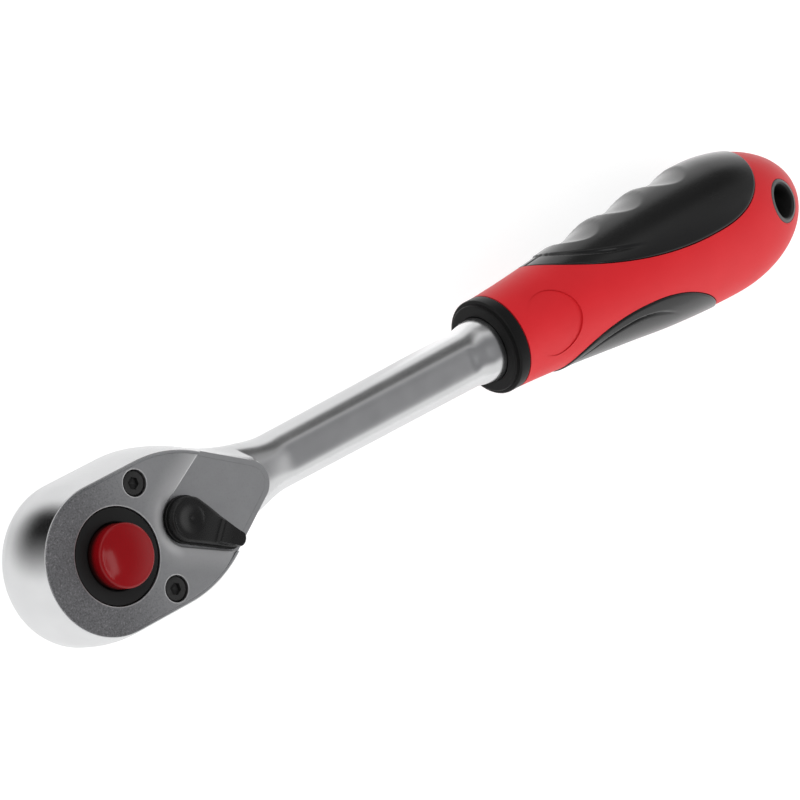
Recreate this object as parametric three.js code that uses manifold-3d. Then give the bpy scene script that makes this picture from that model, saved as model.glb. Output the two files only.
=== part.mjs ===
// Reversible ratchet with a 12.7 mm (1/2 inch) square drive, a pear-shaped head and a two-part handle.
// Millimetres, +Z up. The origin is the centre of the drive square's end face. The drive axis is Z,
// with the release button on top, and the handle runs along +X.

import * as THREE from 'three';
import { mergeVertices } from 'three/addons/utils/BufferGeometryUtils.js';
import Module from 'manifold-3d';

// Drive square
const SQUARE = 12.7;
const SQUARE_LENGTH = 15;
const SQUARE_CORNER = 1.3;
const SQUARE_CHAMFER = 1;

// Head, as a pear-shaped face with walls that swell below it
const HEAD_THICKNESS = 18.5;
const FACE_HALF_WIDTH = 17;
const NOSE_CENTRE_X = -1.7;
const SHOULDER_START_X = 13;
const SHOULDER_RADIUS = 31;
const SHOULDER_ANGLE = THREE.MathUtils.degToRad(32);
const TIP_RADIUS = 4.4;
const WALL_BULGE = 1.65;
const BULGE_DEPTH = 12;
const BOTTOM_ROUND = 4.5;
const BOTTOM_INSET = 5;
const FLOOR_THICKNESS = 4;

// Shank, forged in one piece with the head
const SHANK_DEPTH = 11;
const SHANK_FRONT_RADIUS = 6.3;
const SHANK_BACK_RADIUS = 7.2;
const NECK_BLEND = 9;
const NECK_TOP = 1;
const NECK_FULL = 8;
const FLAT_DEPTH = 0.6;
const FLAT_START_X = 48;
const FLAT_END_X = 116;
const FLAT_RUNOUT = 4;
const TANG_RADIUS = 5.6;
const TANG_LENGTH = 74;

// Cover plate, let into the head inside a thin rim
const PLATE_THICKNESS = 4;
const RIM_WIDTH = 0.7;
const RECESS_DEPTH = 1.4;
const RECESS_ANGLE = THREE.MathUtils.degToRad(28);

// Cover screws
const SCREW_X = 10.9;
const SCREW_Y = 12.65;
const SCREW_RADIUS = 1.5;
const SCREW_LENGTH = 11.5;
const SCREW_HEAD_RADIUS = 2.75;
const SCREW_HEAD_HEIGHT = 2;
const SCREW_HEAD_SINK = 0.4;
const HEX_ACROSS_FLATS = 2.5;
const HEX_DEPTH = 1.2;

// Ratchet gear
const TEETH = 72;
const TOOTH_TIP_RADIUS = 12;
const TOOTH_HEIGHT = 0.8;
const TOOTH_LAND = 0.16;
const HUB_RADIUS = 10.8;
const HUB_PROUD = 0.5;
const WASHER_THICKNESS = 0.8;
const SEAL_WIRE = 1.2;

// Quick release: ring, button, pin, spring and ball
const RING_THICKNESS = 1.4;
const RING_SINK = 0.3;
const RING_SPIGOT_RADIUS = 9.3;
const RING_SPIGOT_LENGTH = 7;
const RING_LIP = 2;
const BUTTON_RADIUS = 7.2;
const BUTTON_PROUD = 3.4;
const BUTTON_CROWN = 0.8;
const BUTTON_EDGE = 0.8;
const BUTTON_FLANGE = 0.8;
const FLANGE_THICKNESS = 1.4;
const PRESS_TRAVEL = 2.2;
const PIN_RADIUS = 2.3;
const PIN_NECK_RADIUS = 1.2;
const PIN_END_LENGTH = 2;
const PIN_NECK_LENGTH = 2.4;
const BALL_RADIUS = 2.4;
const BALL_HEIGHT = 6;
const BALL_PROUD = 1;
const BALL_LIP = 0.2;
const RELEASE_SPRING_LENGTH = 8;
const RELEASE_SPRING_WIRE = 0.9;
const RELEASE_SPRING_TURNS = 5;

// Pawl and its pin
const PAWL_PIN_X = 14.5;
const PAWL_PIN_RADIUS = 1.1;
const PAWL_PIN_SEAT = 2.3;
const PAWL_HALF_ANGLE = THREE.MathUtils.degToRad(33);
const PAWL_OUTER_RADIUS = 15.2;
const PAWL_ROCK = THREE.MathUtils.degToRad(5);
const PAWL_HOLLOW_ANGLE = THREE.MathUtils.degToRad(56);

// Reverse lever with its stem, clip, seal, plunger and spring
const LEVER_X = 20;
const LEVER_HUB_RADIUS = 5.4;
const LEVER_REACH = 15.5;
const LEVER_TIP_RADIUS = 1.7;
const LEVER_SWING = THREE.MathUtils.degToRad(43);
const LEVER_HUB_HEIGHT = 3.4;
const LEVER_TIP_HEIGHT = 2.2;
const LEVER_FIN_WIDTH = 3.2;
const LEVER_FIN_HEIGHT = 1.4;
const LEVER_FIN_START = 8.6;
const LEVER_DIMPLE_RADIUS = 3.6;
const LEVER_DIMPLE_DEPTH = 0.6;
const LEVER_NECK_RADIUS = 3.2;
const STEM_RADIUS = 2.7;
const STEM_SEAT = 1.3;
const CLIP_THICKNESS = 0.6;
const CLIP_RADIUS = 4;
const CLIP_GROOVE = 0.5;
const CLIP_MOUTH = 2.6;
const LEVER_SEAL_WIRE = 1.1;
const PLUNGER_RADIUS = 1.1;
const PLUNGER_LENGTH = 2;
const PLUNGER_PROUD = 0.5;
const DETENT_SPRING_LENGTH = 2.5;
const DETENT_SPRING_WIRE = 0.36;
const DETENT_SPRING_TURNS = 2;

// Handle: hard shell, front collar, two soft pads and the hanging eyelet
const COLLAR_X = 121.8;
const COLLAR_LENGTH = 4;
const COLLAR_STEP = 1;
const HANDLE_FRONT_RADIUS = 11.9;
const HANDLE_MAX_RADIUS = 17.6;
const HANDLE_MAX_X = 200;
const HANDLE_END_LENGTH = 29.2;
const HANDLE_FRONT_SLOPE = 0.05;
const HANDLE_FLATTEN = 0.94;
const PAD_DEPTH = 2.4;
const PAD_PROUD = 0.3;
const FINGER_PITCH = 15.5;
const FINGER_MIDDLE_X = 176.5;
const FINGER_DEPTH = 1.1;
const FINGER_LENGTH = 12;
const HANG_INSET = 13.6;
const HANG_RADIUS = 4.1;
const EYELET_WALL = 1.5;
const MARK_X = 136;
const MARK_RADIUS = 8;
const MARK_WIDTH = 0.5;
const MARK_DEPTH = 0.4;

// Soft pads: where they are widest, how far they reach from there, and how blunt their ends are
const FINGER_PAD_X = 187;
const FINGER_PAD_FRONT = 43;
const FINGER_PAD_BACK = 25.7;
const FINGER_PAD_ANGLE = THREE.MathUtils.degToRad(85);
const FINGER_PAD_FRONT_POWER = 2;
const FINGER_PAD_BACK_POWER = 2.8;
const PALM_PAD_X = 165;
const PALM_PAD_FRONT = 25.5;
const PALM_PAD_BACK = 26;
const PALM_PAD_ANGLE = THREE.MathUtils.degToRad(64);
const PALM_PAD_FRONT_POWER = 2.3;
const PALM_PAD_BACK_POWER = 2;
const PAD_TIP_SHARE = 0.06;

// Clearances
const SEAT = 0.15;
const RUN = 0.2;
const PLAY = 0.3;
const TOOTH_PLAY = 0.25;
const TANG_PLAY = 0.3;

// Facets
const ROUND = 36;
const SMALL_ROUND = 18;
const ARC_STEPS = 10;
const WIRE_SIDES = 6;
const COIL_STEPS = 8;
const COIL_SIDES = 5;
const FACE_POINTS = 2;
const WALL_POINTS = 11;

const STEEL = { color: 0xc9ccce, roughness: 0.28, metalness: 1 };
const BLASTED_STEEL = { color: 0x8c8f92, roughness: 0.5, metalness: 1 };
const BLACK_STEEL = { color: 0x2a2a2c, roughness: 0.4, metalness: 0.8 };
const BRIGHT_STEEL = { color: 0xd6d8da, roughness: 0.2, metalness: 1 };
const BLACK_PLASTIC = { color: 0x232324, roughness: 0.45, metalness: 0 };
const RED_PLASTIC = { color: 0xc92a32, roughness: 0.4, metalness: 0 };
const RED_BUTTON = { color: 0xa5161e, roughness: 0.2, metalness: 0 };
const SOFT_BLACK = { color: 0x272728, roughness: 0.6, metalness: 0 };
const SEAL_RUBBER = { color: 0x1a1a1a, roughness: 0.7, metalness: 0 };

const wasm = await Module();
wasm.setup();

// Heights measured from the face, which is z = 0 in the head's own group
const FACE_Z = SQUARE_LENGTH + HEAD_THICKNESS;
const HEAD_BOTTOM = -HEAD_THICKNESS;
const PLATE_BOTTOM = -PLATE_THICKNESS;
const RECESS_FLOOR = -RECESS_DEPTH;
const CAVITY_FLOOR = HEAD_BOTTOM + FLOOR_THICKNESS;
const WASHER_BOTTOM = CAVITY_FLOOR + SEAT;
const WASHER_TOP = WASHER_BOTTOM + WASHER_THICKNESS;
const GEAR_BOTTOM = WASHER_TOP + SEAT;
const GEAR_TOP = PLATE_BOTTOM - PLAY;
const CLIP_TOP = PLATE_BOTTOM - SEAT;
const CLIP_BOTTOM = CLIP_TOP - CLIP_THICKNESS;
const PAWL_TOP = CLIP_BOTTOM - PLAY;
const PAWL_BOTTOM = GEAR_BOTTOM;
const PAWL_MIDDLE = (PAWL_TOP + PAWL_BOTTOM) / 2;
const SEAL_Z = (HEAD_BOTTOM + CAVITY_FLOOR) / 2;
const SQUARE_END = -FACE_Z;
const BALL_Z = SQUARE_END + BALL_HEIGHT;

// Radii that follow from their neighbours
const GEAR_BORE_RADIUS = HUB_RADIUS + RUN;
const SEAL_RING_RADIUS = HUB_RADIUS + SEAT + SEAL_WIRE / 2;
const CAVITY_RADIUS = TOOTH_TIP_RADIUS + 2 * PLAY;
const PIN_BORE_RADIUS = PIN_RADIUS + RUN;
const STEM_BORE_RADIUS = STEM_RADIUS + SEAT;
const HOLLOW_RADIUS = STEM_RADIUS + PLUNGER_PROUD + PLAY;
const COLLAR_BORE_RADIUS = SHANK_BACK_RADIUS + RUN;
const EYELET_RADIUS = HANG_RADIUS + EYELET_WALL;
const HANDLE_X = COLLAR_X + COLLAR_LENGTH;
const HANDLE_END_X = HANDLE_MAX_X + HANDLE_END_LENGTH;
const HANG_X = HANDLE_END_X - HANG_INSET;

const FINGER_PAD = {
  side: 1,
  middle: FINGER_PAD_X,
  front: FINGER_PAD_FRONT,
  back: FINGER_PAD_BACK,
  frontPower: FINGER_PAD_FRONT_POWER,
  backPower: FINGER_PAD_BACK_POWER,
  halfAngle: FINGER_PAD_ANGLE,
  fingers: [-1, 0, 1],
};
const PALM_PAD = {
  side: -1,
  middle: PALM_PAD_X,
  front: PALM_PAD_FRONT,
  back: PALM_PAD_BACK,
  frontPower: PALM_PAD_FRONT_POWER,
  backPower: PALM_PAD_BACK_POWER,
  halfAngle: PALM_PAD_ANGLE,
  fingers: [],
};

const ratchet = new THREE.Group();
const head = new THREE.Group();
head.position.z = FACE_Z;
const handle = new THREE.Group();
handle.position.z = FACE_Z - SHANK_DEPTH;
const lever = new THREE.Group();
lever.position.x = LEVER_X;
lever.rotation.z = -LEVER_SWING;
const rocker = new THREE.Group();
rocker.position.x = PAWL_PIN_X;
rocker.rotation.z = PAWL_ROCK;
ratchet.add(head, handle);
head.add(lever, rocker);

// Solids and booleans

function solid(geometry) {
  const bare = geometry.index ? geometry.toNonIndexed() : geometry.clone();
  bare.deleteAttribute('normal');
  bare.deleteAttribute('uv');
  const merged = mergeVertices(bare, 1e-4);
  const corners = [];
  for (let i = 0; i < merged.index.count; i += 3) {
    const [a, b, c] = [0, 1, 2].map((k) => merged.index.getX(i + k));
    if (a !== b && b !== c && c !== a) corners.push(a, b, c);
  }
  const mesh = new wasm.Mesh({
    numProp: 3,
    vertProperties: new Float32Array(merged.attributes.position.array),
    triVerts: new Uint32Array(corners),
  });
  return new wasm.Manifold(mesh);
}

function join(first, ...others) {
  return others.reduce((sum, other) => sum.add(other), first);
}

function cut(first, ...others) {
  return others.reduce((rest, other) => rest.subtract(other), first);
}

function piece(parent, name, body, finish) {
  const { vertProperties, triVerts } = body.getMesh();
  const geometry = new THREE.BufferGeometry();
  geometry.setAttribute('position', new THREE.BufferAttribute(vertProperties, 3));
  geometry.setIndex(new THREE.BufferAttribute(triVerts, 1));
  const shaded = geometry.toNonIndexed();
  shaded.computeVertexNormals();
  const mesh = new THREE.Mesh(shaded, new THREE.MeshStandardMaterial(finish));
  mesh.name = name;
  parent.add(mesh);
}

// Cylinder along Z between two heights
function disc(radius, low, high, x = 0, y = 0, sides = ROUND) {
  const geometry = new THREE.CylinderGeometry(radius, radius, high - low, sides);
  geometry.rotateX(Math.PI / 2);
  geometry.translate(x, y, (low + high) / 2);
  return solid(geometry);
}

// Solid of revolution about Z from [radius, height] points, listed upwards from the axis and back to it
function turned(profile, sides = ROUND) {
  const geometry = new THREE.LatheGeometry(profile.map(([r, z]) => new THREE.Vector2(r, z)), sides);
  geometry.rotateX(Math.PI / 2);
  return solid(geometry);
}

// Ring of round wire about Z
function wireRing(radius, wire, z, sides = ROUND) {
  const section = new THREE.EllipseCurve(radius, z, wire / 2, wire / 2).getPoints(WIRE_SIDES);
  const geometry = new THREE.LatheGeometry(section, sides);
  geometry.rotateX(Math.PI / 2);
  return solid(geometry);
}

// Flat outline given a height along Z
function prism(shape, low, high, curveSegments = ARC_STEPS) {
  const geometry = new THREE.ExtrudeGeometry(shape, {
    depth: high - low, bevelEnabled: false, curveSegments,
  });
  geometry.translate(0, 0, low);
  return solid(geometry);
}

// Skin over a row of closed rings with equal point counts, closed by a fan at each end
function loft(rings) {
  const count = rings[0].length;
  const points = rings.flat();
  const middle = (ring) => ring.reduce((sum, p) => sum.add(p), new THREE.Vector3()).divideScalar(count);
  const first = points.push(middle(rings[0])) - 1;
  const last = points.push(middle(rings[rings.length - 1])) - 1;
  const corners = [];
  for (let k = 0; k < count; k++) {
    const next = (k + 1) % count;
    for (let i = 0; i + 1 < rings.length; i++) {
      const [a, b, c, d] = [i * count + k, i * count + next, (i + 1) * count + next, (i + 1) * count + k];
      corners.push(a, b, c, a, c, d);
    }
    const end = (rings.length - 1) * count;
    corners.push(first, next, k, last, end + k, end + next);
  }
  const geometry = new THREE.BufferGeometry().setFromPoints(points);
  geometry.setIndex(corners);
  return solid(geometry);
}

class Helix extends THREE.Curve {
  constructor(radius, length, turns) {
    super();
    Object.assign(this, { radius, length, turns });
  }

  getPoint(t, target = new THREE.Vector3()) {
    const angle = t * this.turns * 2 * Math.PI;
    return target.set(this.radius * Math.cos(angle), this.radius * Math.sin(angle), t * this.length);
  }
}

// Coil spring standing on z = 0; prints the least gap between neighbouring turns
function coil(name, radius, length, wire, turns) {
  const path = new Helix(radius, length - wire, turns);
  const section = new THREE.Shape(new THREE.EllipseCurve(0, 0, wire / 2, wire / 2).getPoints(COIL_SIDES));
  const geometry = new THREE.ExtrudeGeometry(section, {
    extrudePath: path, steps: COIL_STEPS * turns, bevelEnabled: false,
  });
  geometry.translate(0, 0, wire / 2);
  const points = path.getPoints(COIL_STEPS * turns);
  let gap = Infinity;
  for (let i = 0; i + COIL_STEPS / 2 < points.length; i++) {
    for (let j = i + COIL_STEPS / 2; j < points.length; j++) {
      gap = Math.min(gap, points[i].distanceTo(points[j]) - wire);
    }
  }
  console.log(`${name}: least gap between turns ${gap.toFixed(2)} mm`);
  return solid(geometry);
}

// Pear outline, grown by an offset: nose arc, straight side, shoulder arc, straight flank, tip arc

const FLANK_NORMAL = Math.PI / 2 - SHOULDER_ANGLE;
const SHOULDER_CENTRE_Y = FACE_HALF_WIDTH - SHOULDER_RADIUS;
const TIP_CENTRE_X = SHOULDER_START_X
  + (SHOULDER_RADIUS - TIP_RADIUS + SHOULDER_CENTRE_Y * Math.sin(FLANK_NORMAL)) / Math.cos(FLANK_NORMAL);

function pear(offset) {
  const nose = FACE_HALF_WIDTH + offset;
  const shoulder = SHOULDER_RADIUS + offset;
  const tip = TIP_RADIUS + offset;
  const shape = new THREE.Shape();
  shape.absarc(NOSE_CENTRE_X, 0, nose, Math.PI / 2, 1.5 * Math.PI);
  shape.absarc(SHOULDER_START_X, -SHOULDER_CENTRE_Y, shoulder, -Math.PI / 2, -FLANK_NORMAL);
  shape.absarc(TIP_CENTRE_X, 0, tip, -FLANK_NORMAL, FLANK_NORMAL);
  shape.absarc(SHOULDER_START_X, SHOULDER_CENTRE_Y, shoulder, FLANK_NORMAL, Math.PI / 2);
  shape.closePath();
  return shape;
}

// Distance of a point outside an arc's span of tangent lines
function arcDistance(x, y, cx, cy, radius, from, to) {
  const angle = Math.atan2(y - cy, x - cx);
  const facing = THREE.MathUtils.clamp(angle, from, to);
  return Math.cos(facing) * (x - cx) + Math.sin(facing) * (y - cy) - radius;
}

// Distance of a point outside the pear outline
function pearDistance(x, y) {
  const side = Math.abs(y);
  return Math.max(
    arcDistance(x, side, NOSE_CENTRE_X, 0, FACE_HALF_WIDTH, Math.PI / 2, Math.PI),
    arcDistance(x, side, SHOULDER_START_X, SHOULDER_CENTRE_Y, SHOULDER_RADIUS, FLANK_NORMAL, Math.PI / 2),
    arcDistance(x, side, TIP_CENTRE_X, 0, TIP_RADIUS, 0, FLANK_NORMAL),
  );
}

// How far the wall stands outside the face's outline at a depth below the face
function wallOffset(depth) {
  const rise = Math.min(depth / BULGE_DEPTH, 1);
  const fall = THREE.MathUtils.clamp((depth - HEAD_THICKNESS + BOTTOM_ROUND) / BOTTOM_ROUND, 0, 1);
  return WALL_BULGE * (1 - (1 - rise) ** 2) - BOTTOM_INSET * (1 - Math.sqrt(1 - fall ** 2));
}

// Shank radius, growing evenly from the head to the collar
function shankRadius(x) {
  const along = THREE.MathUtils.clamp(x / COLLAR_X, 0, 1);
  return THREE.MathUtils.lerp(SHANK_FRONT_RADIUS, SHANK_BACK_RADIUS, along);
}

function flatDepth(x) {
  const start = THREE.MathUtils.smoothstep(x, FLAT_START_X, FLAT_START_X + 2 * FLAT_RUNOUT);
  const end = THREE.MathUtils.smoothstep(x, FLAT_END_X - FLAT_RUNOUT, FLAT_END_X);
  return FLAT_DEPTH * start * (1 - end);
}

// Below zero inside the forging: the head and the shank flow into each other below the recess
function forging(x, y, z) {
  const depth = -z;
  const across = depth - SHANK_DEPTH;
  const pearHead = pearDistance(x, y) - wallOffset(THREE.MathUtils.clamp(depth, 0, HEAD_THICKNESS));
  const radius = shankRadius(x);
  const shank = Math.max(
    Math.hypot(y, across) - radius,
    Math.abs(across) - radius + flatDepth(x),
    -x,
  );
  const near = Math.max(NECK_BLEND - Math.abs(pearHead - shank), 0) / NECK_BLEND;
  const fillet = near * near * NECK_BLEND / 4 * THREE.MathUtils.smoothstep(depth, NECK_TOP, NECK_FULL);
  const blended = Math.min(pearHead, shank) - fillet;
  return Math.max(blended, -depth, depth - HEAD_THICKNESS);
}

// Distance from the shank's axis to the surface of the forging, in a direction across it
function reach(x, angle) {
  let inside = 0;
  let outside = 2 * (FACE_HALF_WIDTH + HEAD_THICKNESS);
  for (let step = 0; step < 40; step++) {
    const middle = (inside + outside) / 2;
    const within = forging(x, middle * Math.cos(angle), middle * Math.sin(angle) - SHANK_DEPTH) < 0;
    if (within) inside = middle;
    else outside = middle;
  }
  return inside;
}

// Half width of the flat face at a station along the head
function faceHalfWidth(x) {
  let inside = 0;
  let outside = 2 * FACE_HALF_WIDTH;
  if (forging(x, 0, -1e-6) >= 0) return 0;
  for (let step = 0; step < 40; step++) {
    const middle = (inside + outside) / 2;
    if (forging(x, middle, -1e-6) < 0) inside = middle;
    else outside = middle;
  }
  return inside;
}

// One ring of the forging: across the flat face, then down the wall to the bottom, and the same mirrored
function forgingRing(x) {
  const edge = faceHalfWidth(x);
  const edgeAngle = Math.atan2(SHANK_DEPTH, edge);
  const half = [];
  for (let k = 0; k < FACE_POINTS; k++) {
    const y = edge * k / FACE_POINTS;
    half.push([y, edge > 0 ? 0 : reach(x, Math.PI / 2) - SHANK_DEPTH]);
  }
  for (let k = 0; k <= WALL_POINTS; k++) {
    const angle = THREE.MathUtils.lerp(edgeAngle, -Math.PI / 2, k / WALL_POINTS);
    const radius = reach(x, angle);
    half.push([radius * Math.cos(angle), radius * Math.sin(angle) - SHANK_DEPTH]);
  }
  const mirrored = half.slice(1, -1).reverse().map(([y, z]) => [-y, z]);
  return [...half, ...mirrored].map(([y, z]) => new THREE.Vector3(x, y, z));
}

function headAndShank() {
  const noseX = NOSE_CENTRE_X - FACE_HALF_WIDTH - WALL_BULGE + SEAT;
  const tipX = TIP_CENTRE_X + TIP_RADIUS;
  const stations = [];
  const noseSteps = 7;
  for (let k = 0; k < noseSteps; k++) {
    const along = 1 - Math.cos(k / noseSteps * Math.PI / 2);
    stations.push(THREE.MathUtils.lerp(noseX, NOSE_CENTRE_X, along));
  }
  const headSteps = 11;
  for (let k = 0; k < headSteps; k++) {
    stations.push(THREE.MathUtils.lerp(NOSE_CENTRE_X, tipX, k / headSteps));
  }
  stations.push(tipX + SEAT, (tipX + FLAT_START_X) / 2);
  for (const start of [FLAT_START_X, FLAT_END_X - FLAT_RUNOUT]) {
    const length = start === FLAT_START_X ? 2 * FLAT_RUNOUT : FLAT_RUNOUT;
    for (let k = 0; k <= 3; k++) stations.push(start + length * k / 3);
  }
  stations.push(HANDLE_X);
  const forged = loft(stations.map((x) => forgingRing(x)).reverse());

  const tang = new THREE.CylinderGeometry(TANG_RADIUS, TANG_RADIUS, TANG_LENGTH + 2 * SEAT, SMALL_ROUND);
  tang.rotateZ(Math.PI / 2);
  tang.translate(HANDLE_X + TANG_LENGTH / 2 - SEAT, 0, -SHANK_DEPTH);

  const over = 1;
  const pocket = prism(pear(-RIM_WIDTH), PLATE_BOTTOM, over);
  const cavity = disc(CAVITY_RADIUS, CAVITY_FLOOR, PLATE_BOTTOM + over);
  const hubBore = disc(GEAR_BORE_RADIUS, HEAD_BOTTOM - over, CAVITY_FLOOR + over);
  const sealGroove = wireRing(SEAL_RING_RADIUS, SEAL_WIRE + 2 * SEAT, SEAL_Z);
  const pawlRoom = prism(pawlOutline(PAWL_SWEEP + PLAY, false), CAVITY_FLOOR, PLATE_BOTTOM + over);
  const pinHole = disc(PAWL_PIN_RADIUS + SEAT, CAVITY_FLOOR - PAWL_PIN_SEAT, CAVITY_FLOOR + over,
    PAWL_PIN_X, 0, SMALL_ROUND);
  const stemBore = disc(STEM_BORE_RADIUS, CAVITY_FLOOR - STEM_SEAT, PLATE_BOTTOM + over,
    LEVER_X, 0, SMALL_ROUND);
  const clipRoom = disc(CLIP_RADIUS + PLAY, PAWL_TOP, PLATE_BOTTOM + over, LEVER_X, 0, SMALL_ROUND);
  const screwEnd = -SCREW_HEAD_SINK - SCREW_HEAD_HEIGHT - SCREW_LENGTH - PLAY;
  const screwHoles = [SCREW_Y, -SCREW_Y].map((y) => disc(SCREW_RADIUS + SEAT, screwEnd,
    PLATE_BOTTOM + over, SCREW_X, y, SMALL_ROUND));
  return cut(join(forged, solid(tang)), pocket, recess(), cavity, hubBore, sealGroove, pawlRoom, pinHole,
    stemBore, clipRoom, ...screwHoles);
}

// Fan-shaped recess in which the lever swings: a round about the pivot and a straight wall on each side
function recess() {
  const radius = LEVER_HUB_RADIUS + 2 * PLAY;
  const far = 2 * (TIP_CENTRE_X + TIP_RADIUS - LEVER_X);
  const wall = Math.PI / 2 + RECESS_ANGLE;
  const along = [Math.cos(RECESS_ANGLE), Math.sin(RECESS_ANGLE)];
  const start = [radius * Math.cos(wall), radius * Math.sin(wall)];
  const shape = new THREE.Shape();
  shape.moveTo(start[0] + far * along[0], -start[1] - far * along[1]);
  shape.lineTo(start[0] + far * along[0], start[1] + far * along[1]);
  shape.absarc(0, 0, radius, wall, 2 * Math.PI - wall);
  shape.closePath();
  return prism(shape, RECESS_FLOOR, HEAD_THICKNESS).translate([LEVER_X, 0, 0]);
}

function coverPlate() {
  const over = 1;
  const blank = prism(pear(-RIM_WIDTH - SEAT), PLATE_BOTTOM + SEAT, 0);
  const gearHole = disc(GEAR_BORE_RADIUS, PLATE_BOTTOM - over, over);
  const stemHole = disc(LEVER_NECK_RADIUS + RUN, PLATE_BOTTOM - over, over, LEVER_X, 0, SMALL_ROUND);
  const sealSeat = disc(LEVER_NECK_RADIUS + LEVER_SEAL_WIRE + 2 * SEAT,
    RECESS_FLOOR - LEVER_SEAL_WIRE - SEAT, over, LEVER_X, 0, SMALL_ROUND);
  const screwHoles = [SCREW_Y, -SCREW_Y].map((y) => join(
    disc(SCREW_RADIUS + SEAT, PLATE_BOTTOM - over, over, SCREW_X, y, SMALL_ROUND),
    disc(SCREW_HEAD_RADIUS + PLAY, -SCREW_HEAD_SINK - SCREW_HEAD_HEIGHT - SEAT, over,
      SCREW_X, y, SMALL_ROUND),
  ));
  return cut(blank, gearHole, recess(), stemHole, sealSeat, ...screwHoles);
}

// Socket-head screw with its head's top at z = 0
function coverScrew() {
  const body = turned([
    [0, -SCREW_HEAD_HEIGHT - SCREW_LENGTH],
    [SCREW_RADIUS, -SCREW_HEAD_HEIGHT - SCREW_LENGTH],
    [SCREW_RADIUS, -SCREW_HEAD_HEIGHT],
    [SCREW_HEAD_RADIUS, -SCREW_HEAD_HEIGHT],
    [SCREW_HEAD_RADIUS, -SEAT],
    [SCREW_HEAD_RADIUS - SEAT, 0],
    [0, 0],
  ], SMALL_ROUND);
  const hexRadius = HEX_ACROSS_FLATS / Math.sqrt(3);
  return cut(body, disc(hexRadius, -HEX_DEPTH, 1, 0, 0, 6));
}

// Gear outline; the tooth pattern is even about the X axis
function gearShape(grow) {
  const pitch = 2 * Math.PI / TEETH;
  const tip = TOOTH_TIP_RADIUS + grow;
  const root = tip - TOOTH_HEIGHT;
  const half = TOOTH_LAND / 2;
  const points = [];
  for (let tooth = 0; tooth < TEETH; tooth++) {
    for (const [share, radius] of [[-0.5 + half, root], [-half, tip], [half, tip], [0.5 - half, root]]) {
      const angle = (tooth + share) * pitch;
      points.push(new THREE.Vector2(radius * Math.cos(angle), radius * Math.sin(angle)));
    }
  }
  return new THREE.Shape(points);
}

function squareShape(size, corner) {
  const half = size / 2 - corner;
  const shape = new THREE.Shape();
  shape.absarc(half, half, corner, 0, Math.PI / 2);
  shape.absarc(-half, half, corner, Math.PI / 2, Math.PI);
  shape.absarc(-half, -half, corner, Math.PI, 1.5 * Math.PI);
  shape.absarc(half, -half, corner, 1.5 * Math.PI, 2 * Math.PI);
  return shape;
}

const RING_TOP = -RING_SINK;
const RING_SEAT = RING_TOP - RING_THICKNESS;
const SPIGOT_END = RING_SEAT - RING_SPIGOT_LENGTH;
const LIP_BOTTOM = RING_TOP - RING_LIP;
const FLANGE_TOP = LIP_BOTTOM - SEAT;
const FLANGE_BOTTOM = FLANGE_TOP - FLANGE_THICKNESS;
const SPRING_TOP = FLANGE_BOTTOM - SEAT;
const SPRING_FLOOR = SPRING_TOP - RELEASE_SPRING_LENGTH - SEAT;
const SPRING_RADIUS = PIN_RADIUS + PLAY + RELEASE_SPRING_WIRE / 2;
const SPRING_ROOM_RADIUS = SPRING_RADIUS + RELEASE_SPRING_WIRE / 2 + PLAY;
const PIN_SHOULDER = BALL_Z - SEAT * 2;
const PIN_END = PIN_SHOULDER - PIN_END_LENGTH;
const PIN_BORE_END = PIN_END - PRESS_TRAVEL - RUN;

function driveGear() {
  const teeth = prism(gearShape(0), GEAR_BOTTOM, GEAR_TOP);
  const hubTop = RING_SEAT - SEAT;
  const hub = disc(HUB_RADIUS, HEAD_BOTTOM - HUB_PROUD, hubTop);
  const chamfered = new THREE.ExtrudeGeometry(squareShape(SQUARE - 2 * SQUARE_CHAMFER, SQUARE_CORNER), {
    depth: SQUARE_LENGTH - HUB_PROUD + PLAY, bevelEnabled: true, bevelThickness: SQUARE_CHAMFER,
    bevelSize: SQUARE_CHAMFER, bevelSegments: 1, curveSegments: 4,
  });
  chamfered.translate(0, 0, SQUARE_END + SQUARE_CHAMFER);
  const over = 1;
  const ringBore = disc(RING_SPIGOT_RADIUS + SEAT, SPIGOT_END - SEAT, over);
  const springRoom = disc(SPRING_ROOM_RADIUS, SPRING_FLOOR, over, 0, 0, SMALL_ROUND);
  const pinBore = disc(PIN_BORE_RADIUS, PIN_BORE_END, over, 0, 0, SMALL_ROUND);
  const ballHole = turned([
    [0, 0],
    [BALL_RADIUS + SEAT, 0],
    [BALL_RADIUS + SEAT, SQUARE / 2 - BALL_LIP],
    [BALL_RADIUS - BALL_LIP, SQUARE / 2 - BALL_LIP],
    [BALL_RADIUS - BALL_LIP, SQUARE / 2 + over],
    [0, SQUARE / 2 + over],
  ], SMALL_ROUND).rotate([0, -90, 0]).translate([0, 0, BALL_Z]);
  return cut(join(teeth, hub, solid(chamfered)), ringBore, springRoom, pinBore, ballHole);
}

function thrustWasher() {
  const inner = GEAR_BORE_RADIUS + SEAT;
  const outer = CAVITY_RADIUS - SEAT;
  return turned([
    [inner, WASHER_BOTTOM], [outer, WASHER_BOTTOM], [outer, WASHER_TOP], [inner, WASHER_TOP],
    [inner, WASHER_BOTTOM],
  ]);
}

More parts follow.
